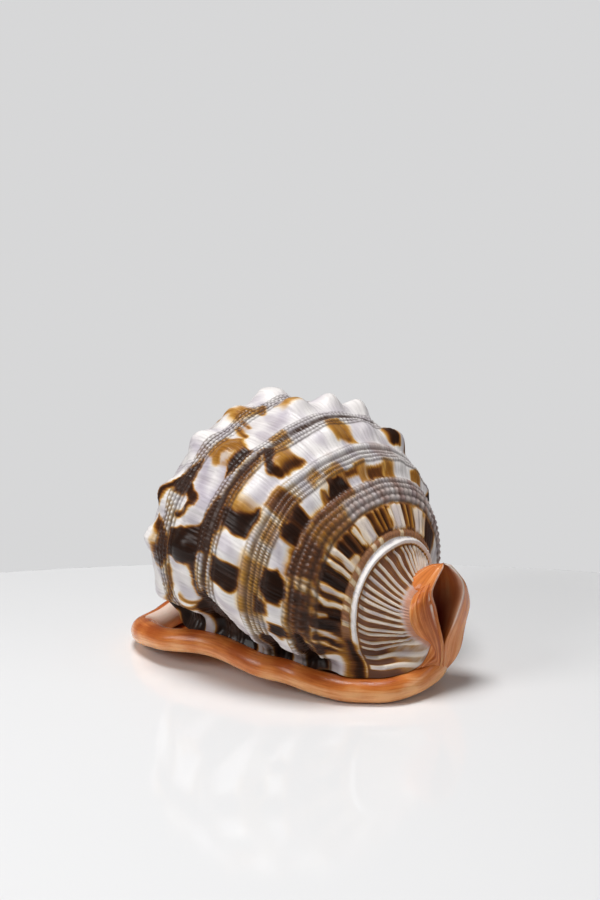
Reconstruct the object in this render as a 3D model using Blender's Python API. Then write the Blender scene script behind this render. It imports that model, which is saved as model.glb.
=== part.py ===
"""Bullmouth helmet shell, one solid grown as one piece, resting on its lip and shield with the aperture down.

+X is anterior (the canal), -X the spire, +Z dorsal, and the outer lip lies on -Y. Lengths in the tables are
millimetres, and angles are degrees. The growth angle turns about the X axis from +Y towards +Z: 0 is the right
side, 90 the top, 180 the left side, and the lip ends the last turn at 212.
"""
import bmesh
import bpy
import numpy as np

mm = 0.001

# driving dimensions
whorlStart = -148.0          # growth angle where the last turn begins, under the lip
whorlEnd = 212.0             # growth angle of the lip
expansion = 1.7              # size gained in each turn
apex = np.array([-72.0, 0.0, 46.0])
shoulder = 27.0              # distance along the profile from the suture to the shoulder
cover = 33.0                 # distance along the profile that the next turn leaves bare
neckEnd = 142.0
spireTurns = 2
wallDip = np.array([0, -8.0, 7.0])
wallStretch = np.array([.8, 0, 0])
wallShares = (.15, .6)
boxCentre = np.array([-1.15, -.45])
lipWall = 6.5
cavityWidth = 13.0
mouthLevel = 4.6
slitTop = 14.0
slitStart = -42.0
slitEnd = 52.0
rimPoints = 60
toothCount = 19
foldCount = 11

# profile of the last turn along its back: distance along it, x, radius
profile = [(27, -39.5, 52), (33, -33, 54.2), (40, -25.5, 54.8), (51, -14, 55), (62, -3, 54.6), (73, 8, 52.4),
           (84, 18, 48.3), (91, 24.5, 45.2), (98, 30, 41.4), (107, 37, 36), (112, 40.3, 32.4),
           (117, 43.3, 28.4), (121, 45.3, 25), (129, 49.5, 18.2), (137, 54.5, 12), (142, 59, 9.5)]
# growth factors of the radius by growth angle
edgeGrowth = [(-148, .54), (-90, .64), (-45, .77), (0, .93), (45, 1.07), (70, 1.03), (90, .985), (121, .89),
              (140, .865), (160, .88), (180, .9), (192, .895), (202, .87), (207, .86), (210, .89), (212, .92)]
rowGrowth = [(-148, .55), (-90, .67), (-45, .81), (0, .97), (30, 1.06), (45, 1.095), (65, 1.045), (90, .995),
             (112, .94), (128, .95), (150, .98), (180, .99), (192, .97), (202, .93), (207, .915), (210, .94),
             (212, .98)]
waistGrowth = [(-148, .55), (-90, .67), (-45, .82), (0, 1), (30, 1.09), (45, 1.12), (65, 1.075), (90, 1),
               (112, .99), (135, 1.04), (150, 1.05), (180, 1.05), (192, 1.01), (202, .955), (207, .935),
               (210, .955), (212, .99)]
neckGrowth = [(-148, .6), (-90, .62), (-45, .68), (0, .8), (45, .99), (90, 1), (135, .93), (180, .9),
              (192, .9), (202, .92), (207, .95), (210, 1), (212, 1.05)]
poleHeight = [(-72, 46), (-40, 45), (-5, 43), (18, 36.5), (32, 32.2), (45, 31), (60, 31)]
lipSkew = [(0, 0), (84, 0), (107, 3), (117, 12), (121, 22), (129, 34), (137, 40), (142, 42)]
lipShift = [(0, -4), (27, -3), (40, -3), (62, -3), (84, 0), (98, 4), (117, 6), (142, 5)]
# how far the front of the last turn flares out to the lip: distance along the profile, x, y, z
lipFlare = [(0, 0, 0, 0), (98, 0, 0, 0), (107, 0, 0, 0), (112, 2.2, -1.4, -1.5), (117, 4.1, -1.6, -1.2),
            (121, 5.9, -3.9, -.5), (125, 7.2, -3.6, -1.2), (129, 7, -1.2, -2.9), (133, 6.2, 1.5, -3.9),
            (137, 4.2, 2.9, -3), (142, 1, 2.7, -1.4)]
flareStart = 194.0

# knob rows: distance along the profile, half length along it, growth angle and height of each knob
knobRows = [(34, 6.0, [(-30, 5.6), (12, 5.6), (48, 6.2), (79, 6.8), (101, 3.4), (123, 5.2), (152, 4.8),
                       (173, 4.8), (200, 3.4)]),
            (55, 5.6, [(-22, 4.6), (20, 4.6), (52, 5.6), (87, 5.4), (128, 4.4), (155, 4.2), (174, 4.2),
                       (197, 3.2)]),
            (74, 4.6, [(-18, 3.6), (20, 3.6), (48, 4.2), (88, 3.4), (119, 3.6), (142, 2.8), (164, 2.6),
                       (182, 2.2)]),
            (89, 3.4, [(-14, 2.6), (14, 2.6), (40, 2.6), (60, 2.4), (84, 2.4), (101, 2.4), (122, 2.2),
                       (147, 2.2), (170, 1.8)])]
knobHalfWidth = 7.5
cordRows = [(44, .8), (66, .8), (81, .8), (95, .6), (101, .6)]
barRow = (108.5, 1.2, 3.6)
barPitch = 10.0
whiteCord = (118.6, 1.7, 1.5)
fanRibs = (128.0, .9, 6.0)

# outline of the lip and the shield, once round the foot: x, y, height of the rim, how far its underside lifts,
# how far the callus climbs on the shell behind it
footRim = [(-67, -31, 11, 0, 0), (-62.5, -43.5, 11.5, 0, 0), (-52, -51.5, 13, 2.2, 0), (-42, -54.2, 14, 4.2, 0),
           (-33, -55.2, 14.8, 5.4, 0), (-25, -53.5, 15.6, 6.3, 0), (-16, -50.5, 16.5, 7.1, 0),
           (-6, -48.8, 16.5, 7.1, 0), (6, -48.6, 15.7, 6.3, 0), (17, -47.4, 14.6, 5.3, 0),
           (25.5, -43.6, 13.8, 4.4, 0), (33.5, -41, 12.4, 3.2, 0), (41, -37, 10.8, 1.4, 0),
           (48.3, -33, 9.7, .3, 0), (54.5, -27.8, 9.2, 0, 0), (60.5, -21.8, 9.3, 0, 1),
           (64.6, -14.6, 10.2, .6, 3), (66.3, -6, 12, 1.6, 5), (66.5, 2, 14.5, 2.8, 6), (64, 10, 15, 3.5, 5),
           (57, 18.5, 13.5, 3.4, 3),
           (45, 27.5, 12, 2, 0), (32, 35, 11, .6, 0), (18, 40.5, 12, 0, 0), (3, 43.5, 13, 0, 0),
           (-12, 44, 14, 0, 0), (-27, 41, 15, .4, 0), (-41, 34, 16, 1.4, 0), (-53, 23, 16, 2.6, 0),
           (-61, 9, 15, 3, 0), (-66, -6, 14, 2.4, 0), (-69, -20, 13, .8, 0)]
# aperture: x, y of its middle, half width
aperture = [(-54, -27, 1.2), (-44, -25, 3.4), (-30, -22.5, 4.8), (-10, -20.5, 5.6), (10, -19, 5.8),
            (28, -17, 5.8), (42, -12, 5.4), (50, -5, 4.6), (56, 2, 3.8)]
# canal: x, y, z of its middle, half width, half depth, half width and half depth of its channel
canal = [(42, 2, 10, 8, 8, 3.4, 5), (51, 7, 12, 9, 9, 3.2, 5.5), (56, 10, 18, 9.5, 10, 3.6, 6.5),
         (57, 10.8, 27, 11, 10.5, 6.8, 7.5), (56.5, 10, 36, 11, 9.5, 8.2, 7.5), (57, 9.5, 43, 8, 7.5, 6.2, 6),
         (58, 9.3, 49, 2.4, 3, 1.2, 2)]
channelLead = 6.0            # how far the channel lies in front of the canal's middle
# the slit of the mouth, from below: height, share of its width, shift to the lip, how much further it reaches
# to the lip, share of its width towards the shield, how much higher it is there
slitLevels = [(-4, 1.3, 0, 0, 1, 0), (1.2, 1, 0, 0, 1, 0), (5, 1, -.4, 0, 1, 0), (slitTop, 1.25, -4, 2, .8, 4)]


def clearScene():
    for item in list(bpy.data.objects):
        bpy.data.objects.remove(item, do_unlink=True)


def curve(table, at):
    """Natural cubic spline through the rows of a table, read at the given values of its first column."""
    rows = np.array(table, float)
    knots = rows[:, 0]
    values = rows[:, 1:]
    count = len(knots)
    gap = np.diff(knots)
    matrix = np.eye(count)
    right = np.zeros(values.shape)
    for i in range(1, count - 1):
        matrix[i, i - 1:i + 2] = (gap[i - 1], 2 * (gap[i - 1] + gap[i]), gap[i])
        right[i] = 6 * ((values[i + 1] - values[i]) / gap[i] - (values[i] - values[i - 1]) / gap[i - 1])
    bend = np.linalg.solve(matrix, right)
    at = np.clip(np.asarray(at, float), knots[0], knots[-1])
    i = np.clip(np.searchsorted(knots, at) - 1, 0, count - 2)
    after = (at - knots[i])[..., None]
    before = (knots[i + 1] - at)[..., None]
    span = gap[i][..., None]
    bent = (bend[i] * before ** 3 + bend[i + 1] * after ** 3) / (6 * span)
    first = (values[i] / span - bend[i] * span / 6) * before
    second = (values[i + 1] / span - bend[i + 1] * span / 6) * after
    return bent + first + second


def ramp(value, start, end):
    share = np.clip((np.asarray(value, float) - start) / (end - start), 0, 1)
    return share * share * (3 - 2 * share)


def mix(low, high, share):
    return low + (high - low) * share


def upperSurface(angle, along):
    """Smooth surface of the last turn, from the shoulder to the neck."""
    across = curve(profile, along)
    edge = curve(edgeGrowth, angle)[..., 0]
    row = curve(rowGrowth, angle)[..., 0]
    waist = curve(waistGrowth, angle)[..., 0]
    neck = curve(neckGrowth, angle)[..., 0]
    growth = mix(edge, row, ramp(along, 27, 42))
    growth = mix(growth, waist, ramp(along, 42, 84))
    growth = mix(growth, neck, ramp(along, 98, 121))
    early = curve(edgeGrowth, np.minimum(angle, 0))[..., 0]
    drawnIn = (1 - np.minimum(early, 1)) * (1 - .9 * ramp(along, 27, 98))
    nearLip = ramp(angle, 90, whorlEnd)
    x = apex[0] + (across[..., 0] - apex[0]) * (1 - drawnIn) + curve(lipShift, along)[..., 0] * nearLip
    turn = np.radians(angle + curve(lipSkew, along)[..., 0] * nearLip)
    radius = across[..., 1] * growth
    height = curve(poleHeight, x)[..., 0]
    flare = curve(lipFlare, along) * ramp(angle, flareStart, whorlEnd)[..., None]
    return np.stack([x, radius * np.cos(turn), height + radius * np.sin(turn)], -1) + flare


def sutureLine(angle):
    """Where the last turn meets the turn before: a smaller copy of the line that the next turn would cover."""
    line = apex + (upperSurface(angle, np.full_like(angle, cover)) - apex) / expansion
    start = upperSurface(np.array(whorlStart), np.array(cover))
    end = apex + (upperSurface(np.array(whorlEnd), np.array(cover)) - apex) / expansion
    return line + (start - end) * ramp(angle, whorlEnd - 90, whorlEnd)[..., None]


def smoothSurface(angle, along):
    """Last turn without its ornament, from the suture to the neck."""
    angle, along = np.broadcast_arrays(np.asarray(angle, float), np.asarray(along, float))
    upper = upperSurface(angle, np.maximum(along, shoulder))
    suture = sutureLine(angle)
    edge = upperSurface(angle, np.full_like(along, shoulder))
    slope = (upperSurface(angle, np.full_like(along, shoulder + 2)) - edge) / 2 * shoulder
    t = np.clip(along / shoulder, -.2, 1)[..., None]
    rise = (edge - suture) * np.array([.55, 1.25, 1.25])
    low = (2 * t ** 3 - 3 * t ** 2 + 1) * suture + (t ** 3 - 2 * t ** 2 + t) * rise
    low = low + (3 * t ** 2 - 2 * t ** 3) * edge + (t ** 3 - t ** 2) * slope * 1.15
    return np.where((along < shoulder)[..., None], low, upper)


def surfaceNormal(angle, along):
    turned = smoothSurface(angle + .5, along) - smoothSurface(angle - .5, along)
    moved = smoothSurface(angle, along + .3) - smoothSurface(angle, along - .3)
    normal = np.cross(turned, moved)
    return normal / np.maximum(np.linalg.norm(normal, axis=-1, keepdims=True), 1e-9)


def ornament(angle, along):
    """Height of knobs, cords, bars and ribs above the smooth surface."""
    height = np.zeros(np.broadcast(angle, along).shape)
    radius = curve(profile, np.maximum(along, shoulder))[..., 1]
    for place, halfLength, knobs in knobRows:
        for turn, rise in knobs:
            width = (angle - turn) * np.pi / 180 * radius / knobHalfWidth
            height = height + rise * np.exp(-width ** 2 - ((along - place) / halfLength) ** 2)
    for place, rise in cordRows:
        height = height + rise * np.exp(-((along - place) / 2.2) ** 2)
    wave = .5 + .5 * np.cos(np.radians(angle * 360 / barPitch))
    place, rise, halfLength = barRow
    height = height + rise * wave * np.exp(-((along - place) / halfLength) ** 2)
    place, rise, halfWidth = whiteCord
    height = height + rise * np.exp(-((along - place) / halfWidth) ** 2)
    place, rise, halfLength = fanRibs
    height = height + rise * wave * np.exp(-((along - place) / halfLength) ** 4)
    bare = ramp(angle, -120, -60) * (1 - ramp(angle, 203, 211))
    return height * bare * ramp(along, 0, 20)


def shellPoints(angle, along):
    angle, along = np.broadcast_arrays(np.asarray(angle, float), np.asarray(along, float))
    rise = ornament(angle, along)[..., None]
    return smoothSurface(angle, along) + surfaceNormal(angle, along) * rise


def material(name, colour, roughness):
    made = bpy.data.materials.new(name)
    made.use_nodes = True
    shader = made.node_tree.nodes["Principled BSDF"]
    shader.inputs["Base Color"].default_value = (*colour, 1)
    shader.inputs["Roughness"].default_value = roughness
    shader.inputs["Metallic"].default_value = 0
    return made


def addObject(name, points, faces, surface):
    """Closed mesh from points in millimetres, with its faces turned outward."""
    placed = np.array(points, float)
    placed[:, :2] -= boxCentre
    mesh = bpy.data.meshes.new(name)
    bm = bmesh.new()
    corners = [bm.verts.new(tuple(point * mm)) for point in placed]
    for face in faces:
        if len(set(face)) > 2:
            bm.faces.new([corners[i] for i in dict.fromkeys(face)])
    bmesh.ops.triangulate(bm, faces=bm.faces)
    bmesh.ops.recalc_face_normals(bm, faces=bm.faces)
    bm.to_mesh(mesh)
    bm.free()
    mesh.materials.append(surface)
    made = bpy.data.objects.new(name, mesh)
    bpy.context.collection.objects.link(made)
    return made


def gridFaces(rows, columns, first=0):
    """Quads between the points of a grid numbered row by row."""
    corner = first + np.arange(rows * columns).reshape(rows, columns)
    quads = np.stack([corner[:-1, :-1], corner[1:, :-1], corner[1:, 1:], corner[:-1, 1:]], -1)
    return [tuple(quad) for quad in quads.reshape(-1, 4)]


def zipFaces(left, right):
    """Triangles between two rows of points that start and end side by side."""
    faces = []
    i = 0
    j = 0
    while i < len(left) - 1 or j < len(right) - 1:
        if j == len(right) - 1 or (i < len(left) - 1 and (i + 1) / len(left) < (j + 1) / len(right)):
            faces.append((left[i], left[i + 1], right[j]))
            i += 1
        else:
            faces.append((left[i], right[j + 1], right[j]))
            j += 1
    return faces


def whorl(surface):
    """Last turn with its ornament, the spire, the wall across the lip, and the neck's end."""
    angles = np.concatenate([np.arange(whorlStart, 185, 5), [187, 193, 199, 204, 208, whorlEnd]])
    alongs = np.array([0, 11, 21, cover, 38.5, 44, 50, 56, 61.5, 66, 70, 74, 78, 81, 84.5, 88, 91.5, 95, 98,
                       101, 104.5, 108.5, 113, 116.2, 118.6, 121.2, 125, 131, neckEnd])
    coverRow = int(np.where(alongs == cover)[0][0])
    last = shellPoints(angles[:, None], alongs[None, :])
    points = last.reshape(-1, 3)
    turnColumns = len(angles)
    rows = len(alongs)
    number = np.arange(turnColumns * rows).reshape(turnColumns, rows)
    faces = gridFaces(turnColumns, rows)
    startColumn = [int(i) for i in number[0]]
    endColumn = [int(i) for i in number[-1]]
    # the wall across the lip dips under the gutter on its way to the start of the turn
    under = last[-1] * wallStretch + wallDip
    inside = mix(last[-1], under, mix(*wallShares, ramp(alongs, shoulder, 70))[:, None])
    wallRow = [int(i) for i in len(points) + np.arange(1, rows)]
    points = np.vstack([points, inside])
    faces += zipFaces([startColumn[coverRow]] + wallRow, [startColumn[coverRow]] + endColumn[1:])
    faces += zipFaces(startColumn[coverRow:], [startColumn[coverRow]] + wallRow)
    merged = {endColumn[0]: startColumn[coverRow]}
    neck = [int(i) for i in number[:, -1]]
    tip = len(points)
    points = np.vstack([points, points[neck].mean(axis=0)])
    faces += [(neck[i], neck[i + 1], tip) for i in range(turnColumns - 1)]
    faces.append((neck[-1], wallRow[-1], tip))
    faces.append((wallRow[-1], neck[0], tip))
    outerLine = [int(i) for i in number[:, 0]]
    scale = 1.0
    startLink = startColumn[:coverRow + 1]
    for turn in range(spireTurns):
        scale = scale / expansion
        strip = apex + (last[:, :coverRow + 1] - apex) * scale
        wanted = points[startLink]
        nearEnd = ramp(angles, whorlEnd - 90, whorlEnd)[:, None, None]
        strip = strip + (wanted - strip[-1])[None] * nearEnd
        strip[:, -1] = points[outerLine]
        base = len(points)
        points = np.vstack([points, strip.reshape(-1, 3)])
        link = base + np.arange(strip.shape[0] * (coverRow + 1)).reshape(strip.shape[0], coverRow + 1)
        faces += gridFaces(strip.shape[0], coverRow + 1, base)
        for i, outer in enumerate(outerLine):
            merged[int(link[i, -1])] = outer
        for j, start in enumerate(startLink):
            merged[int(link[-1, j])] = start
        outerLine = [int(i) for i in link[:, 0]]
        startLink = [int(i) for i in link[0]]
    top = len(points)
    points = np.vstack([points, points[outerLine].mean(axis=0) + (-1, 0, 0)])
    ring = outerLine + startLink[::-1][1:-1]
    faces += [(ring[i], ring[(i + 1) % len(ring)], top) for i in range(len(ring))]
    final = []
    for face in faces:
        linked = []
        for corner in face:
            while corner in merged:
                corner = merged[corner]
            linked.append(corner)
        final.append(tuple(linked))
    used = sorted({corner for face in final for corner in face})
    place = {corner: i for i, corner in enumerate(used)}
    return addObject("helmet_shell", points[used], [tuple(place[c] for c in face) for face in final], surface)


def closedCurve(table, count):
    """Smooth closed curve through the rows of a table, read at evenly spaced steps."""
    rows = np.array(table, float)
    wrapped = np.vstack([rows[-3:], rows, rows[:4]])
    steps = np.arange(-3, len(rows) + 4)
    return curve(np.column_stack([steps, wrapped]), np.linspace(0, len(rows), count, endpoint=False))


def foot(surface):
    """Rolled lip and parietal shield: a cushion with a round rim, flat where it touches the ground."""
    rim = closedCurve(footRim, rimPoints)
    ahead = np.roll(rim[:, :2], -1, axis=0) - np.roll(rim[:, :2], 1, axis=0)
    outward = np.column_stack([ahead[:, 1], -ahead[:, 0]])
    outward /= np.linalg.norm(outward, axis=1, keepdims=True)
    if outward[0] @ rim[0, :2] < 0:
        outward = -outward
    spine = np.column_stack([np.clip(rim[:, 0] * .75, -46, 46), np.full(len(rim), -4.0)])
    # distance out from the rim, share of the way in to the spine, share of the rim's height, share of the
    # climb, share of the way to the level of the mouth
    section = [(-9, .5, 0, 0, 1), (-9, .2, 0, 0, .8), (-8.5, 0, 0, 0, 0), (-5, 0, 0, 0, 0),
               (-1.4, 0, .14, 0, 0), (0, 0, .5, 0, 0), (-1.3, 0, .84, 0, 0), (-4.4, 0, 1, 0, 0),
               (-7, .04, 1, .5, 0), (-9, .35, 1.3, 1, 0)]
    rings = []
    for offset, inward, share, climb, level in section:
        flat = mix(rim[:, :2] + outward * offset, spine, inward)
        height = rim[:, 3] + share * (rim[:, 2] - rim[:, 3]) + climb * rim[:, 4]
        height = mix(height, mouthLevel, level)
        rings.append(np.column_stack([flat, np.maximum(height, 0)]))
    points = np.vstack(rings)
    count = len(rim)
    faces = []
    for ring in range(len(rings) - 1):
        for i in range(count):
            j = (i + 1) % count
            faces.append((ring * count + i, ring * count + j, (ring + 1) * count + j, (ring + 1) * count + i))
    below = len(points)
    points = np.vstack([points, [[-2, -4, 4]], [[-2, -4, 20]]])
    lastRing = (len(rings) - 1) * count
    for i in range(count):
        j = (i + 1) % count
        faces.append((j, i, below))
        faces.append((lastRing + i, lastRing + j, below + 1))
    return addObject("foot", points, faces, surface)


def tube(name, path, widths, depths, sides, surface):
    """Closed tube with an oval section along a path, its width measured across the shell."""
    path = np.asarray(path, float)
    ahead = np.gradient(path, axis=0)
    ahead /= np.linalg.norm(ahead, axis=1, keepdims=True)
    side = np.cross(ahead, (0, 1, 0))
    side /= np.linalg.norm(side, axis=1, keepdims=True)
    other = np.cross(ahead, side)
    turn = np.linspace(0, 2 * np.pi, sides, endpoint=False)
    deep = side[:, None] * np.cos(turn)[None, :, None] * depths[:, None, None]
    wide = other[:, None] * np.sin(turn)[None, :, None] * widths[:, None, None]
    points = (path[:, None] + deep + wide).reshape(-1, 3)
    faces = []
    for i in range(len(path) - 1):
        for j in range(sides):
            k = (j + 1) % sides
            faces.append((i * sides + j, i * sides + k, (i + 1) * sides + k, (i + 1) * sides + j))
    faces.append(tuple(range(sides)))
    faces.append(tuple(range((len(path) - 1) * sides, len(path) * sides))[::-1])
    return addObject(name, points, faces, surface)


def canalRows(count):
    return curve(np.column_stack([np.arange(len(canal)), canal]), np.linspace(0, len(canal) - 1, count))


def canalHorn(surface):
    rows = canalRows(11)
    return tube("canal_horn", rows[:, :3], rows[:, 3], rows[:, 4], 18, surface)


def canalChannel(surface):
    """Channel of the canal, open to the front and at its top."""
    rows = canalRows(11)
    path = rows[:, :3] + np.array([channelLead, 0, 0])
    path[0] += (0, -2, -3)
    path[-1, 2] += 4
    return tube("canal_channel", path, rows[:, 5], rows[:, 6], 14, surface)


def cavity(surface):
    """Hollow of the last turn: the slit of the aperture, then a chamber inside the wall of the turn."""
    alongs = np.array([24, 34, 46, 60, 74, 87, 99, 110, 118])
    turns = np.array([194, 184, 172, 154, 134, 112, 88, 62])
    outer = []
    inner = []
    x = np.linspace(slitStart, slitEnd, len(alongs))
    slit = curve(aperture, x)
    middle = slit[:, 0]
    half = slit[:, 1]
    for height, spread, drift, reach, share, lift in slitLevels:
        lipSide = middle + drift - half * spread - reach
        shieldSide = middle + drift + half * spread * share
        outer.append(np.column_stack([x, lipSide, np.full(len(x), height)]))
        inner.append(np.column_stack([x, shieldSide, np.full(len(x), height + lift)]))
    for turn in turns:
        angle = np.full(len(alongs), float(turn))
        skin = smoothSurface(angle, alongs)
        inward = -surfaceNormal(angle, alongs)
        inward[:, 0] = 0
        inward /= np.linalg.norm(inward, axis=1, keepdims=True)
        pole = np.column_stack([np.zeros(len(x)), curve(poleHeight, skin[:, 0])])
        radius = np.linalg.norm(skin[:, 1:] - pole, axis=1)
        depth = np.minimum(lipWall + cavityWidth * (1 - .5 * ramp(100 - turn, 0, 60)), radius - 9)
        outer.append(skin + inward * np.minimum(lipWall, radius * .5)[:, None])
        inner.append(skin + inward * depth[:, None])
    outer = np.array(outer)
    inner = np.array(inner)
    rows, columns = outer.shape[:2]
    middleFirst = (outer[:, 0] + inner[:, 0]) / 2 + np.array([-2.5, 0, 0])
    middleLast = (outer[:, -1] + inner[:, -1]) / 2 + np.array([2, 0, 0])
    loop = np.concatenate([outer, middleLast[:, None], inner[:, ::-1], middleFirst[:, None]], axis=1)
    around = loop.shape[1]
    faces = []
    for i in range(rows - 1):
        for j in range(around):
            k = (j + 1) % around
            faces.append((i * around + j, i * around + k, (i + 1) * around + k, (i + 1) * around + j))
    points = loop.reshape(-1, 3)
    for row in (0, rows - 1):
        for j in range(columns - 1):
            a = row * around + j
            b = row * around + (2 * columns - j)
            faces.append((a, a + 1, b - 1, b))
        faces.append((row * around + columns - 1, row * around + columns, row * around + columns + 1))
        faces.append((row * around, row * around + 2 * columns, row * around + around - 1))
    return addObject("hollow", points, faces, surface)


def ridges(name, places, surface):
    """Low ridges across the shell: each place gives x, the two ends as y and z, half width and height."""
    points = []
    faces = []
    for x, start, end, halfWidth, height in places:
        first = len(points)
        for share, lift in ((0, 0), (.25, .8), (.6, 1), (1, .2)):
            y, z = mix(np.array(start), np.array(end), share)
            for side, drop in ((-1, .1), (0, 1), (1, .1)):
                points.append((x + side * halfWidth, y, z - height * lift * drop))
            for side in (1, -1):
                points.append((x + side * halfWidth, y, z + 2.5))
        for i in range(3):
            for j in range(5):
                k = (j + 1) % 5
                a = first + i * 5
                faces.append((a + j, a + k, a + k + 5, a + j + 5))
        faces.append(tuple(range(first, first + 5)))
        faces.append(tuple(range(first + 15, first + 20)))
    return addObject(name, np.array(points), faces, surface)


def lipTeeth(surface):
    """Teeth along the inner edge of the outer lip."""
    places = []
    for x in np.linspace(-38, 44, toothCount):
        middle, half = curve(aperture, x)
        edge = middle - half
        places.append((x, (edge - 7.5, 3.0), (edge + .8, 4.6), 1.25, 1.5))
    return ridges("lip_teeth", places, surface)


def innerFolds(surface):
    """Folds on the inner lip, across from the teeth."""
    places = []
    for x in np.linspace(-26, 46, foldCount):
        middle, half = curve(aperture, x)
        edge = middle + half
        places.append((x, (edge + 9, 4.6), (edge - .6, 5.6), 1.1, 1.0))
    return ridges("inner_folds", places, surface)


def join(shell, other, operation):
    """Boolean of the shell with another closed shape, which stays as a hidden guide."""
    step = shell.modifiers.new(other.name, "BOOLEAN")
    step.operation = operation
    step.solver = "EXACT"
    step.object = other
    other.hide_render = True
    other.display_type = "WIRE"


clearScene()
backColour = material("brown and white back", (.36, .2, .11), .32)
lipColour = material("orange callus", (.72, .29, .13), .22)
shell = whorl(backColour)
join(shell, foot(lipColour), "UNION")
join(shell, canalHorn(lipColour), "UNION")
join(shell, cavity(lipColour), "DIFFERENCE")
join(shell, canalChannel(lipColour), "DIFFERENCE")
join(shell, lipTeeth(lipColour), "UNION")
join(shell, innerFolds(lipColour), "UNION")
shell.data.shade_smooth()
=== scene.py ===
import math

import bpy
import numpy as np
from mathutils import Euler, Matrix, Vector


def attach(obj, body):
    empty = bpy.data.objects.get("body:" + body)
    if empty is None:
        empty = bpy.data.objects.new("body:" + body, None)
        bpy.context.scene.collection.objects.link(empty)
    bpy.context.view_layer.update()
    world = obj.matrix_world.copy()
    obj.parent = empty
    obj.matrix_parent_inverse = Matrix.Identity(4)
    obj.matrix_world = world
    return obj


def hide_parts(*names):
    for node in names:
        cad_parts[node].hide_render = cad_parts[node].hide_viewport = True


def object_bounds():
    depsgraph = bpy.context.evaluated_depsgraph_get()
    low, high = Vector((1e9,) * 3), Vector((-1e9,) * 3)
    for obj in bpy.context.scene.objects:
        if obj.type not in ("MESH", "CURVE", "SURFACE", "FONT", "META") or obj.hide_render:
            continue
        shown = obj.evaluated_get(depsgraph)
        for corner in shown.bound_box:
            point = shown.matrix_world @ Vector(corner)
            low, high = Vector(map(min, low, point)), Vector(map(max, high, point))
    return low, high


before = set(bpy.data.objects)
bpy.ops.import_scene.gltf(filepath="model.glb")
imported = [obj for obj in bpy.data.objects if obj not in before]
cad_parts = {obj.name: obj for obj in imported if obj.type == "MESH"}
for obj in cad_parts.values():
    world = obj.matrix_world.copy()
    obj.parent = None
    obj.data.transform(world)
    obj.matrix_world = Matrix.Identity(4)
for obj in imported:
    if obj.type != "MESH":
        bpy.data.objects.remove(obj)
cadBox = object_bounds()
print("frame loaded")

mm = 0.001
boxCentre = np.array([-1.15, -.45])    # millimetres from the spiral's axis to the middle of the box


# small tools for tables and blends

def curve(table, at):
    # natural cubic spline through the rows of a table, read at values of its first column
    rows = np.array(table, float)
    knots, values = rows[:, 0], rows[:, 1:]
    count = len(knots)
    gap = np.diff(knots)
    matrix = np.eye(count)
    right = np.zeros(values.shape)
    for i in range(1, count - 1):
        matrix[i, i - 1:i + 2] = (gap[i - 1], 2 * (gap[i - 1] + gap[i]), gap[i])
        right[i] = 6 * ((values[i + 1] - values[i]) / gap[i] - (values[i] - values[i - 1]) / gap[i - 1])
    bend = np.linalg.solve(matrix, right)
    at = np.clip(np.asarray(at, float), knots[0], knots[-1])
    i = np.clip(np.searchsorted(knots, at) - 1, 0, count - 2)
    after = (at - knots[i])[..., None]
    before = (knots[i + 1] - at)[..., None]
    span = gap[i][..., None]
    bent = (bend[i] * before ** 3 + bend[i + 1] * after ** 3) / (6 * span)
    low = values[i] / span - bend[i] * span / 6
    high = values[i + 1] / span - bend[i + 1] * span / 6
    return bent + low * before + high * after


def line(table, at):
    rows = np.array(table, float)
    return np.interp(at, rows[:, 0], rows[:, 1])


def ramp(value, start, end):
    share = np.clip((np.asarray(value, float) - start) / (end - start), 0, 1)
    return share * share * (3 - 2 * share)


def mix(low, high, share):
    return low + (high - low) * share


def wobble(x, y, seed, size, layers=7):
    # smooth seeded unevenness between about -1 and 1
    random = np.random.default_rng(seed)
    total = 0
    for layer in range(layers):
        way = random.uniform(0, 2 * np.pi)
        rate = 2 * np.pi / size * random.uniform(.6, 1.7)
        total = total + np.sin(rate * (x * np.cos(way) + y * np.sin(way)) + random.uniform(0, 2 * np.pi))
    return total / layers ** .75


def uneven(x, y, row):
    # one row of unevenness: strength, share of x, share of y, seed, size, layers
    strength, shareX, shareY, seed, size, layers = row
    return strength * wobble(x * shareX, y * shareY, seed, size, layers)


def window(value, start, end, soft):
    # 1 between start and end, easing to 0 within soft of each
    return ramp(value, start - soft, start + soft) * (1 - ramp(value, end - soft, end + soft))


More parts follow.
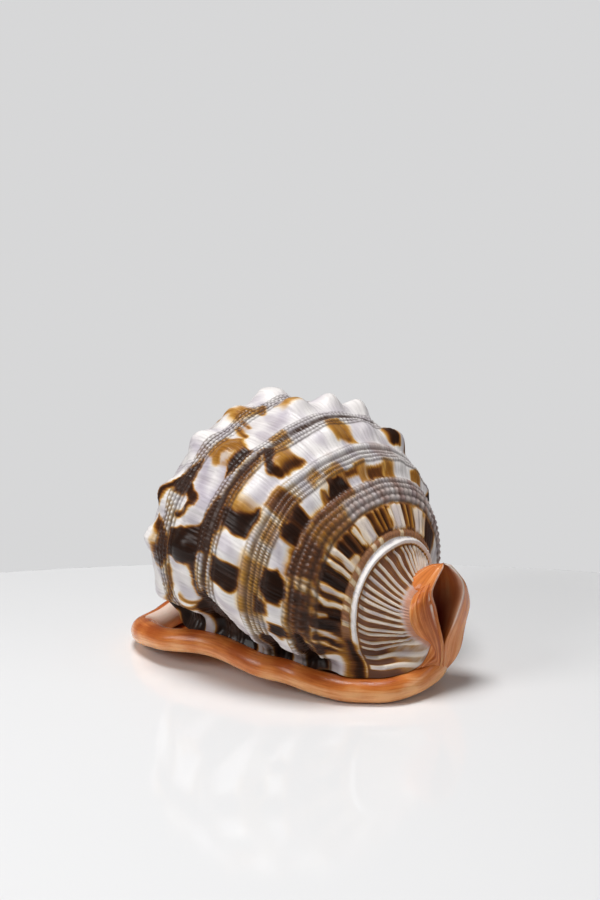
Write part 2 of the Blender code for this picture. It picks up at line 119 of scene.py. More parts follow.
# shape of the last turn: growth angle in degrees, distance along the profile in millimetres
turnShape = {
    "start": -148.0,
    "end": 212.0,
    "expansion": 1.7,
    "apex": np.array([-72.0, 0.0, 46.0]),
    "shoulder": 27.0,
    "cover": 33.0,
    "profile": [(27, -39.5, 52), (33, -33, 54.2), (40, -25.5, 54.8), (51, -14, 55), (62, -3, 54.6),
                (73, 8, 52.4), (84, 18, 48.3), (91, 24.5, 45.2), (98, 30, 41.4), (107, 37, 36),
                (112, 40.3, 32.4), (117, 43.3, 28.4), (121, 45.3, 25), (129, 49.5, 18.2),
                (137, 54.5, 12), (142, 59, 9.5)],
    "edge": [(-148, .54), (-90, .64), (-45, .77), (0, .93), (45, 1.07), (70, 1.03), (90, .985), (121, .89),
             (140, .865), (160, .88), (180, .9), (192, .895), (202, .87), (207, .86), (210, .89),
             (212, .92)],
    "row": [(-148, .55), (-90, .67), (-45, .81), (0, .97), (30, 1.06), (45, 1.095), (65, 1.045), (90, .995),
            (112, .94), (128, .95), (150, .98), (180, .99), (192, .97), (202, .93), (207, .915), (210, .94),
            (212, .98)],
    "waist": [(-148, .55), (-90, .67), (-45, .82), (0, 1), (30, 1.09), (45, 1.12), (65, 1.075), (90, 1),
              (112, .99), (135, 1.04), (150, 1.05), (180, 1.05), (192, 1.01), (202, .955), (207, .935),
              (210, .955), (212, .99)],
    "neck": [(-148, .6), (-90, .62), (-45, .68), (0, .8), (45, .99), (90, 1), (135, .93), (180, .9),
             (192, .9), (202, .92), (207, .95), (210, 1), (212, 1.05)],
    "pole": [(-72, 46), (-40, 45), (-5, 43), (18, 36.5), (32, 32.2), (45, 31), (60, 31)],
    "skew": [(0, 0), (84, 0), (107, 3), (117, 12), (121, 22), (129, 34), (137, 40), (142, 42)],
    "shift": [(0, -4), (27, -3), (40, -3), (62, -3), (84, 0), (98, 4), (117, 6), (142, 5)],
    # how far the front of the turn flares out to the lip: distance along, x, y, z
    "flare": [(0, 0, 0, 0), (98, 0, 0, 0), (107, 0, 0, 0), (112, 2.2, -1.4, -1.5),
              (117, 4.1, -1.6, -1.2), (121, 5.9, -3.9, -.5), (125, 7.2, -3.6, -1.2),
              (129, 7, -1.2, -2.9), (133, 6.2, 1.5, -3.9), (137, 4.2, 2.9, -3), (142, 1, 2.7, -1.4)],
    "flareStart": 194.0,
}


def upperSurface(angle, along):
    # smooth surface from the shoulder to the neck
    shape = turnShape
    across = curve(shape["profile"], along)
    growth = mix(curve(shape["edge"], angle)[..., 0], curve(shape["row"], angle)[..., 0], ramp(along, 27, 42))
    growth = mix(growth, curve(shape["waist"], angle)[..., 0], ramp(along, 42, 84))
    growth = mix(growth, curve(shape["neck"], angle)[..., 0], ramp(along, 98, 121))
    drawnIn = 1 - np.minimum(curve(shape["edge"], np.minimum(angle, 0))[..., 0], 1)
    drawnIn = drawnIn * (1 - .9 * ramp(along, 27, 98))
    nearLip = ramp(angle, 90, shape["end"])
    apexX = shape["apex"][0]
    x = apexX + (across[..., 0] - apexX) * (1 - drawnIn) + curve(shape["shift"], along)[..., 0] * nearLip
    turn = np.radians(angle + curve(shape["skew"], along)[..., 0] * nearLip)
    radius = across[..., 1] * growth
    height = curve(shape["pole"], x)[..., 0] + radius * np.sin(turn)
    flare = curve(shape["flare"], along) * ramp(angle, shape["flareStart"], shape["end"])[..., None]
    return np.stack([x, radius * np.cos(turn), height], -1) + flare


def sutureLine(angle):
    shape = turnShape
    apex, end = shape["apex"], shape["end"]
    path = apex + (upperSurface(angle, np.full_like(angle, shape["cover"])) - apex) / shape["expansion"]
    first = upperSurface(np.array(shape["start"]), np.array(shape["cover"]))
    last = apex + (upperSurface(np.array(end), np.array(shape["cover"])) - apex) / shape["expansion"]
    return path + (first - last) * ramp(angle, end - 90, end)[..., None]


def smoothSurface(angle, along):
    angle, along = np.broadcast_arrays(np.asarray(angle, float), np.asarray(along, float))
    shoulder = turnShape["shoulder"]
    upper = upperSurface(angle, np.maximum(along, shoulder))
    suture = sutureLine(angle)
    edge = upperSurface(angle, np.full_like(along, shoulder))
    slope = (upperSurface(angle, np.full_like(along, shoulder + 2)) - edge) / 2 * shoulder
    t = np.clip(along / shoulder, -.2, 1)[..., None]
    rise = (edge - suture) * np.array([.55, 1.25, 1.25])
    low = (2 * t ** 3 - 3 * t ** 2 + 1) * suture + (t ** 3 - 2 * t ** 2 + t) * rise
    low = low + (3 * t ** 2 - 2 * t ** 3) * edge + (t ** 3 - t ** 2) * slope * 1.15
    return np.where((along < shoulder)[..., None], low, upper)


def surfaceNormal(angle, along):
    turned = smoothSurface(angle + .5, along) - smoothSurface(angle - .5, along)
    moved = smoothSurface(angle, along + .3) - smoothSurface(angle, along - .3)
    normal = np.cross(turned, moved)
    return normal / np.maximum(np.linalg.norm(normal, axis=-1, keepdims=True), 1e-9)


# relief of the outside: knobs, cords, bars, the white cord and the fan
relief = {
    # growth angle, distance along, height, half width in mm, half length in mm
    "knobs": [(-30, 34, 5.6, 7.5, 6), (12, 34, 5.6, 7.5, 6), (48, 34, 6.2, 7.5, 6), (79, 34, 6.8, 7, 6),
              (101, 35, 3.4, 6, 6), (123, 34, 5.2, 7, 6), (152, 34, 4.8, 7, 6), (173, 34, 4.8, 6.5, 6),
              (200, 34, 3.4, 6, 6), (-22, 56, 4.6, 7.5, 5.6), (20, 56, 4.6, 7.5, 5.6),
              (38, 56, 5, 6, 5.6), (53.5, 56.5, 7.4, 5.6, 5.6), (68, 55, 6.4, 5.4, 5.6),
              (86, 54, 5.8, 6, 5.6), (128, 55, 4.4, 7, 6), (155, 56, 4.2, 6.5, 5.6),
              (172, 55, 4.2, 6.5, 6), (196, 54, 3.2, 5, 6), (-18, 74, 3.6, 7, 4.6),
              (20, 74, 3.6, 7, 4.6), (48, 74, 5.8, 6, 4.8), (66, 74, 3.2, 5.4, 4.6),
              (88, 74, 3.4, 7, 4.6), (119, 74, 3.6, 6.5, 4.6), (142, 74.5, 2.8, 6, 4.6),
              (164, 75, 2.6, 6, 4.6), (181, 76, 2.2, 5, 4.6), (-14, 89, 2.6, 6, 3.2),
              (14, 89, 2.6, 6, 3.2), (34, 89, 2.6, 5, 3.2), (47, 89, 2.4, 5, 3.2), (60, 89, 2.4, 5, 3.2),
              (71, 89, 2.2, 4, 3.2), (84, 89, 2.2, 4, 3.2), (99, 89, 2.2, 4.5, 3.2),
              (112, 89.5, 2.2, 4, 3.2), (125, 90, 2.0, 5, 3.2), (147, 90, 2.2, 4.5, 3.2),
              (166, 91, 1.6, 6, 3.2), (178, 91, 1.6, 4, 3.2)],
    # broad swells below each band of cords
    "swells": [(43.5, .7, 3), (66.5, .8, 3), (83.5, .8, 4), (100.5, .9, 5)],
    "cordRise": 2.1,
    "cordSpans": [(39.6, 47.2), (62.4, 71.4), (80.8, 88.8), (94.9, 105.6)],
    # distance along, height, half width, degrees between beads, how strongly it is beaded
    "cords": [(40.6, .25, .6, 2.4, .5), (42.4, .3, .6, 2.1, .5), (44.2, .3, .6, 2.3, .5),
              (46.2, .22, .6, 2.6, .4), (63.4, .3, .7, 1.9, .55), (65.2, .34, .7, 1.7, .6),
              (68.7, .34, .75, 1.6, .6), (70.3, .2, .6, 1.9, .5), (82, .55, 1.25, 1.5, .3),
              (84.6, .4, .62, 1.35, .6), (86.2, .4, .62, 1.3, .6), (87.8, .34, .6, 1.3, .6),
              (96, .45, 1.0, 2.4, .5), (98.5, .42, .9, 2.2, .55), (101.1, .55, 1.2, 3.6, .55),
              (104, .5, 1.1, 4.3, .5)],
    "bars": [48.5, 52, 56.5, 63, 68, 73, 77, 82.2, 87, 92, 96.5, 104.5, 109, 115.5, 121, 127, 135, 141.5,
             148, 156, 163.5, 169.5, 175],
    "barSpan": (106.4, 115.6),
    "barHeight": .95,
    "barWidth": 1.0,
    "barEnd": (174, 179),       # growth angles over which the bars fade out
    "slantBars": [((177, 104), (185, 113)), ((184, 103.5), (195, 112.5)), ((190, 105), (199, 112))],
    "brownCord": [(40, 117.3), (75, 117.6), (110, 117.6), (130, 117), (150, 115.9), (165, 115.1),
                  (185, 114.2), (212, 113.4)],
    "brownRise": .7,
    "brownWidth": 1.15,
    "brownPitch": 3.2,          # degrees from bead to bead
    "brownEnd": (186, 200),
    "whiteCord": [(40, 119.6), (50, 120), (70, 120.8), (90, 121.7), (100, 121.8), (110, 121.5),
                  (130, 120.3), (150, 118.9), (170, 117.7), (188, 116.8), (212, 116)],
    "ribs": [16, 22, 28, 34, 40, 45, 50, 55, 60, 65.5, 71, 77, 84, 95, 106, 116, 122.5, 129.5, 136.5,
             142.5, 147, 154, 161, 169, 174, 183, 190, 199, 206],
    "ribSpan": (122.6, 138.5),
    "ribHeight": .95,
    "ribWidth": (.5, .3),       # at the outer end and at the inner end
    "whiteRise": 1.5,
    "whiteWidth": .95,
    "whiteEnd": (180, 200),
    "slantRise": .9,
    "slantWidth": 1.1,
    # unevenness: strength, share of the angle, share of the distance, seed, size, layers
    "cordSway": (.5, 1, .5, 5, 34, 4),
    "rough": [(.1, 1, .04, 3, 1.6, 9), (.12, 1, .1, 4, 5, 6), (.2, .8, 1, 8, 16, 8)],
    # hollows behind the lip, each a patch of (growth angle, distance along)
    "hollows": [[(202, 22), (203.5, 30), (205, 42), (207.5, 51), (212, 51), (212, 22)],
                [(184, 65.5), (188, 64), (194, 60.5), (200, 57.5), (206, 56), (212, 56), (212, 78),
                 (204, 77.4), (200, 76), (194, 73), (188, 69.5)],
                [(192, 86.5), (196, 84.3), (202, 83.8), (212, 84), (212, 90), (204, 90.5), (197, 90),
                 (193, 89)],
                [(184, 98), (190, 97), (198, 96.3), (206, 95.7), (212, 95.7), (212, 104), (205, 104),
                 (197, 103), (190, 102), (185, 101)]],
    "hollowDepth": 4.2,
    "gutterDrop": 5.0,      # how far the last degrees sink behind the lip
}


def millimetresPerDegree(along):
    return np.pi / 180 * curve(turnShape["profile"], np.maximum(along, turnShape["shoulder"]))[..., 1]


def strokeDistance(angle, along, path):
    # distance in millimetres to an open line of (growth angle, distance along)
    path = np.array(path, float)
    scale = millimetresPerDegree(np.array(path[:, 1].mean()))
    best = np.full(angle.shape, 1e3)
    for (a, s), (b, e) in zip(path[:-1], path[1:]):
        dx, dy = (b - a) * scale, e - s
        x, y = (angle - a) * scale, along - s
        t = np.clip((x * dx + y * dy) / max(dx * dx + dy * dy, 1e-9), 0, 1)
        best = np.minimum(best, np.hypot(x - t * dx, y - t * dy))
    return best


def patchDistance(angle, along, corners):
    # signed distance in millimetres to a closed patch, negative inside
    corners = np.array(corners, float)
    away = strokeDistance(angle, along, np.vstack([corners, corners[:1]]))
    inside = np.zeros(angle.shape, bool)
    for (a, s), (b, e) in zip(corners, np.roll(corners, -1, axis=0)):
        if s != e:
            inside ^= ((s > along) != (e > along)) & (angle < (b - a) * (along - s) / (e - s) + a)
    return np.where(inside, -away, away)


def nearest(values, at):
    values = np.sort(np.array(values, float))
    i = np.clip(np.searchsorted(values, at), 1, len(values) - 1)
    return np.where(at - values[i - 1] < values[i] - at, at - values[i - 1], at - values[i])


def barAngle(angle, along):
    # growth angle carried to the middle of the row, as the bars lean a little
    return angle - .12 * (along - 111)


def ribAngle(angle, along):
    # growth angle carried back to the outer end of the ribs, which lean as they run inward
    lean = line([(0, -9), (100, -3.5), (120, 2), (150, 4), (165, 7), (185, 11), (212, 13)], angle)
    early = line([(0, -3), (90, -3.5), (112, -1), (130, 0), (212, 0)], angle)
    return angle - early * ramp(along, 123, 127) - lean * ramp(along, 125, 141) ** 1.2


def beadedCords(angle, along, lifted):
    # height of the cords, and how far the surface between them is covered, from 0 in a groove to 1
    sway = along + uneven(angle, along, relief["cordSway"]) - .16 * lifted
    rise = np.zeros(angle.shape)
    cover = np.zeros(angle.shape)
    for order, (place, high, halfWidth, pitch, beaded) in enumerate(relief["cords"]):
        phase = angle + .35 * wobble(angle, along * 0, 20 + order, 9, 5)
        bead = 1 - beaded * (.5 + .5 * np.cos(2 * np.pi * phase / pitch))
        ridge = bead * np.exp(-((sway - place) / halfWidth) ** 2)
        rise += relief["cordRise"] * high * ridge
        cover = np.maximum(cover, ridge)
    banded = np.zeros(angle.shape)
    for low, high in relief["cordSpans"]:
        banded = np.maximum(banded, window(sway, low, high, .5))
    return rise, mix(1, cover, banded)


def ornament(angle, along):
    # height above the smooth surface, in millimetres
    height = np.zeros(angle.shape)
    scale = millimetresPerDegree(along)
    for turn, place, rise, halfWidth, halfLength in relief["knobs"]:
        across = (angle - turn) * scale / halfWidth
        up = (along - place) / halfLength
        height += rise * np.exp(-across ** 2 - np.abs(up) ** 2.2)
    for place, rise, halfWidth in relief["swells"]:
        height += rise * np.exp(-((along - place) / halfWidth) ** 2)
    height += beadedCords(angle, along, height)[0]
    start, end = relief["barSpan"]
    across = nearest(relief["bars"], barAngle(angle, along)) * scale
    between = ramp(along, start - .8, start + .8) * (1 - ramp(along, end - .6, end + .8))
    between *= 1 - ramp(angle, *relief["barEnd"])
    height += relief["barHeight"] * np.exp(-(across / relief["barWidth"]) ** 2) * between
    for path in relief["slantBars"]:
        away = strokeDistance(angle, along, path)
        height += relief["slantRise"] * np.exp(-(away / relief["slantWidth"]) ** 2)
    cord = along - line(relief["brownCord"], angle)
    beads = .8 + .2 * np.cos(2 * np.pi * angle / relief["brownPitch"])
    kept = 1 - ramp(angle, *relief["brownEnd"])
    height += relief["brownRise"] * np.exp(-(cord / relief["brownWidth"]) ** 2) * beads * kept
    cord = along - line(relief["whiteCord"], angle)
    kept = 1 - .8 * ramp(angle, *relief["whiteEnd"])
    height += relief["whiteRise"] * np.exp(-(cord / relief["whiteWidth"]) ** 2) * kept
    start, end = relief["ribSpan"]
    across = nearest(relief["ribs"], ribAngle(angle, along)) * scale
    narrow = np.interp(along, relief["ribSpan"], relief["ribWidth"])
    between = ramp(along, start - .6, start + .6) * (1 - ramp(along, end - 2, end + .5))
    height += relief["ribHeight"] * np.exp(-(across / narrow) ** 2) * between
    for row in relief["rough"]:
        height += uneven(angle, along, row)
    for corners in relief["hollows"]:
        height -= relief["hollowDepth"] * (1 - ramp(patchDistance(angle, along, corners), -3.5, 1.6))
    bare = ramp(angle, -120, -60) * (1 - .9 * ramp(angle, 206, 212))
    gutter = relief["gutterDrop"] * ramp(angle, 198, 211) * ramp(along, 16, 30) * (1 - ramp(along, 99, 110))
    return height * bare * ramp(along, 0, 16) - gutter


# colour of the outside: how deep the brown lies, from 0 for white through amber to 1 for the darkest brown
paint = {
    "edge": .55,           # softness of a mark's edge in mm
    "spread": 1.7,         # how much wider the edges fade where the brown turns to amber
    # each mark: depth, softness or None, half width of a line or 0 for a patch, then its points
    "marks": [
        (.42, .8, .8, [(101, 22), (104, 30), (103, 36)]),
        (.38, 1.4, 0, [(99, 37), (106, 37), (107, 42), (101, 44), (96, 46)]),
        (.3, 1.2, 0, [(83, 49), (90, 49), (91, 54), (84, 55)]),
        (.88, .8, 1.2, [(166, 60.3), (178, 61.5), (189, 62.5)]),
        (.95, .7, 1.0, [(157, 34), (150, 38), (146, 41)]),
        (.97, .8, 0, [(147, 40.5), (151, 42), (151, 46), (142, 47), (134, 45.5), (139, 43)]),
        (.8, .9, 0, [(163, 35), (169, 39), (176, 39), (184, 34), (184, 41), (178, 45.5), (170, 45),
                     (165, 41)]),
        (.1, .7, 0, [(170, 38), (174, 38), (174, 40.5), (170, 40.5)]),
        (.6, .9, .8, [(183, 46), (190, 46), (196, 44), (202, 39), (206, 33)]),
        (.5, .7, .6, [(107, 45), (109, 49)]),
        (.6, .8, .9, [(112, 46), (115, 53)]),
        (.5, .8, .8, [(94, 44), (98, 47)]),
        # second row
        (.40, .8, 0, [(121, 46), (129, 45), (133, 50), (135, 55), (133, 60), (123, 60.5), (120, 52)]),
        (.55, .9, .7, [(120, 47), (118.5, 53), (123, 60)]),
        (.08, .6, 0, [(131, 56), (134, 57), (131, 59.5), (127, 59.5)]),
        (.97, .6, 0, [(123, 60.5), (133, 60.3), (138, 62.5), (132, 64), (122, 63.5)]),
        (.92, .6, 1.5, [(148, 46.5), (150, 51), (152.5, 56.5)]),
        (.8, .6, .9, [(153, 57.3), (157, 53), (160, 47)]),
        (1, .6, 0, [(166, 46.5), (176, 46.5), (177.5, 53), (177, 58), (174, 62.5), (167, 64.5),
                    (160, 64), (163, 58), (164.5, 52)]),
        (.9, .8, 1.5, [(165, 62), (158, 65), (150, 66.5)]),
        (.55, .6, .5, [(196.5, 49), (198, 55), (197, 60)]),
        (.5, .6, .4, [(193, 52), (194, 60)]),
        # cords between the second row and the third
        (.3, .8, 0, [(104, 64), (112, 64), (114, 69), (106, 69.5)]),
        (.55, .9, 0, [(121, 66.8), (140, 66.6), (160, 67), (160, 69.8), (140, 71), (125, 69.5)]),
        (.85, .8, 0, [(147, 65), (160, 63.8), (169, 64), (168, 68.6), (150, 69)]),
        (.9, .35, .35, [(118, 67), (130, 67.6), (150, 67.4), (168, 67.6)]),
        (.6, .5, .4, [(168, 67.4), (185, 67.6)]),
        # third row
        (.36, .9, 0, [(77, 68.6), (84, 68.6), (88, 73), (87, 77.5), (78, 77.5), (75, 72)]),
        (.5, .8, 0, [(78, 77.5), (84, 77.5), (82, 80), (78, 80)]),
        (.30, .9, 0, [(109, 69), (117, 68.8), (122, 73), (121, 79), (110, 79.5), (112, 74)]),
        (.92, .6, 1.2, [(118, 69), (123, 72), (125, 75.5), (123.5, 78)]),
        (.75, .8, 0, [(112, 76.3), (124, 77), (121, 79.6), (110, 79.6)]),
        (.34, 2.6, 0, [(144, 70), (150, 70), (150, 80), (143, 80)]),
        (1, .6, 0, [(149, 69.6), (154.5, 70.5), (156, 75), (155.5, 79.5), (149, 80.8), (142, 80.8),
                    (147, 77), (149, 73)]),
        (.97, .6, 0, [(168, 70.6), (177, 70.6), (178, 78), (175, 81), (167, 81), (168.5, 76)]),
        # cords between the third row and the fourth
        (.3, .8, 0, [(97, 86), (105, 86), (106, 88.6), (98, 88.6)]),
        (.32, .8, 0, [(110, 84), (116, 85), (117, 88), (109, 88)]),
        (.6, .9, 0, [(129, 81.5), (138, 81.5), (138, 88), (127, 88)]),
        (.3, .9, 0, [(142, 84.6), (151, 84.6), (151, 88), (143, 88)]),
        (.26, 1.4, 0, [(160, 81.5), (184, 81.5), (184, 88), (160, 88)]),
        (.85, .7, 0, [(174, 87), (181, 87), (179, 90), (175, 89.6)]),
        # fourth row
        (.42, .8, 0, [(65, 89.6), (71, 89.6), (72, 95), (66, 95)]),
        (.65, .6, 0, [(73, 91), (83, 91.2), (83, 95), (74, 95)]),
        (.34, .6, 0, [(84, 88), (88, 88), (89, 95), (85, 95)]),
        (.68, .5, 0, [(88, 89.5), (98, 89.5), (98, 91.3), (89, 91.3)]),
        (.36, .6, 0, [(97.5, 88), (101, 88), (100, 93), (98, 94)]),
        (.96, .5, 0, [(101.5, 89.2), (110, 89.2), (115, 91), (117, 95.4), (98.5, 95), (99.5, 92.5)]),
        (.05, .5, 0, [(108.5, 87), (114, 87.5), (114.3, 91), (112.6, 93), (110, 90.5)]),
        (.5, .7, 0, [(113.5, 91.8), (116, 91.5), (118, 95), (115.5, 95)]),
        (1, .55, 0, [(129.5, 89), (142, 88.6), (145, 89.5), (144.5, 94.5), (129.5, 95)]),
        (.8, .6, .8, [(136, 89.5), (136, 94)]),
        (.3, .6, .5, [(137, 86.5), (138, 89)]),
        (1, .55, 0, [(161, 88.6), (169, 88.2), (173, 90), (173, 94), (168, 95.6), (162, 94.6),
                     (158.5, 92)]),
        (.96, .6, 0, [(184.5, 90), (189, 90), (190, 93), (187, 96), (184, 95)]),
        (.95, .8, 0, [(146, 95), (158, 95.4), (157, 98), (146, 97.6)]),
        # cords between the fourth row and the bars
        (.42, 1.8, 0, [(112, 96), (136, 96), (136, 105.5), (116, 105.5)]),
        (.6, .8, 0, [(99, 95.3), (130, 95.5), (130, 97.4), (99, 97)]),
        (.66, 1.6, 0, [(136, 95.5), (158, 95.5), (158, 105.5), (138, 105.5)]),
        (.6, 1.4, 0, [(160, 97), (187, 97), (187, 105.5), (162, 105.5)]),
        (.08, .6, 0, [(159, 98.5), (162, 99), (161.5, 102), (159, 102)]),
        (.1, .6, 0, [(156, 100), (158, 99), (157.5, 103), (155.8, 103)]),
        (.95, .8, 0, [(163, 98), (168, 98), (168, 101), (164, 102)]),
        (.95, .8, 0, [(172, 101), (180, 101), (180, 105), (173, 105)]),
        (.35, .6, 0, [(168, 103), (172, 103.5), (171, 106), (168, 106)]),
        # bars
        (.8, .8, 0, [(30, 106.3), (186, 106), (186, 115.5), (120, 116.4), (30, 116.4)]),
        (.05, .6, 0, [(50, 106.5), (60, 106.5), (60, 116), (50, 116)]),
        (.04, .5, 0, [(72, 106.5), (80, 106.5), (80, 116), (72.5, 116)]),
        (.04, .5, 0, [(81, 108), (83.6, 108), (84.5, 115.6), (81.5, 115.8)]),
        (.9, 1, 0, [(86, 109), (94, 108), (98, 114), (88, 115)]),
        (.04, .5, 0, [(104, 106), (112, 106), (113, 116), (102, 116), (102, 109)]),
        (.04, .45, 0, [(114, 107.5), (117, 107.5), (117.6, 114), (114.8, 114.5)]),
        (1, .7, 0, [(120, 107.5), (132, 107), (132.5, 111.5), (128, 113.6), (119.5, 115.5)]),
        (.1, .6, 0, [(125, 115.2), (131, 112.5), (137, 112), (136, 116.2), (126, 116.6)]),
        (.04, .5, 0, [(132.8, 104.5), (136.6, 104.8), (138, 115.5), (134, 115.5)]),
        (.04, .4, 0, [(140.2, 104.4), (142.6, 104.6), (144, 115), (141.8, 115.2)]),
        (1, .6, 0, [(144, 105.5), (153.5, 106), (155, 114.6), (145.5, 114.6)]),
        (.04, .45, 0, [(154.6, 105), (157.6, 107), (158.6, 117), (156.4, 117)]),
        (.04, .45, 0, [(160.4, 104.4), (163, 105), (166.5, 108), (165.5, 114), (163.6, 117), (162, 116),
                       (163, 109)]),
        (1, .6, 0, [(167.5, 107), (180, 104.5), (181.5, 109), (180, 113), (169, 114.5)]),
        (.06, .5, 0, [(170.5, 105.5), (172.6, 106), (172.4, 109), (171, 109)]),
        (.04, .5, 0, [(179, 104), (188, 103.6), (200, 112.5), (186, 112.8)]),
        (.9, .6, .7, [(184, 105), (192, 112)]),
        (.97, .6, 0, [(188, 103.6), (195, 103.4), (198, 108), (197, 111), (193, 108)]),
        (.45, .6, .8, [(196.5, 107), (198, 111)]),
        (.55, 1.0, 0, [(176, 112.6), (212, 111.4), (212, 116), (190, 116.4), (176, 115)]),
        (.95, .7, .9, [(186, 114.6), (198, 115), (212, 115)]),
    ],
    # how much the crests of the bars are lighter, by growth angle
    "barLight": [(0, .5), (115, .5), (128, .3), (145, .12), (212, 0)],
    # beads of the brown cord that stay cream
    "creamBeads": [78, 102, 111, 134, 143.5, 156.5, 163, 174],
    # painted grey violet shade between knobs
    "shades": [(.8, 4, [(133, 47), (146, 54), (152, 61), (140, 64), (134, 60)]),
               (.7, 3, [(128, 36), (131, 44)]), (.6, 3, [(112, 42), (120, 43)]),
               (.6, 3, [(90, 38), (93, 44)]), (.7, 4, [(95, 56), (104, 60)]),
               (.5, 3, [(92, 66), (104, 67)]), (.6, 3, [(128, 78), (138, 78)]),
               (.6, 2.5, [(149, 89), (157, 93)]), (.6, 2.5, [(89, 93), (96, 93)]),
               (.5, 3, [(170, 42), (178, 50)]), (.5, 4, [(60, 70), (72, 80)]),
               (.5, 3, [(66, 62), (80, 64)]), (.5, 2, [(76, 108), (78, 114)]),
               (.5, 2, [(54, 108), (57, 114)]), (.4, 3, [(150, 58), (157, 62)]),
               (.45, 2, [(104.5, 109), (105, 114)])],
    "roseBand": (95.5, 106),
    # rows of seeded marks on the far side: middle, reach, lowest and highest distance along
    "farRows": [(16, 5, 7, 23), (38, 6, 24, 46), (55, 7, 46, 62), (75, 4.4, 70, 80), (91.6, 3, 88.4, 95)],
    "farDepths": [.38, .7, .95, 1],
    "farStart": -128.0,
    "farEnd": 70,
    # unevenness of the marks' edges, as in the relief
    "movedEdges": [(.6, .8, 1, 31, 7, 7), (.16, 2, .5, 32, 3, 7)],
    "shiftedEdges": [(.5, .8, 1, 33, 7, 7), (.18, .9, .2, 34, 2, 6)],
    "growthPitch": 1.75,        # degrees between growth lines
    "growthSway": (.5, 1, .15, 47, 9, 6),
    "fanDepth": .6,
    "fanPale": .46,             # how much lighter the fan is beside the lip
    "ribWidth": (.75, .42),
}


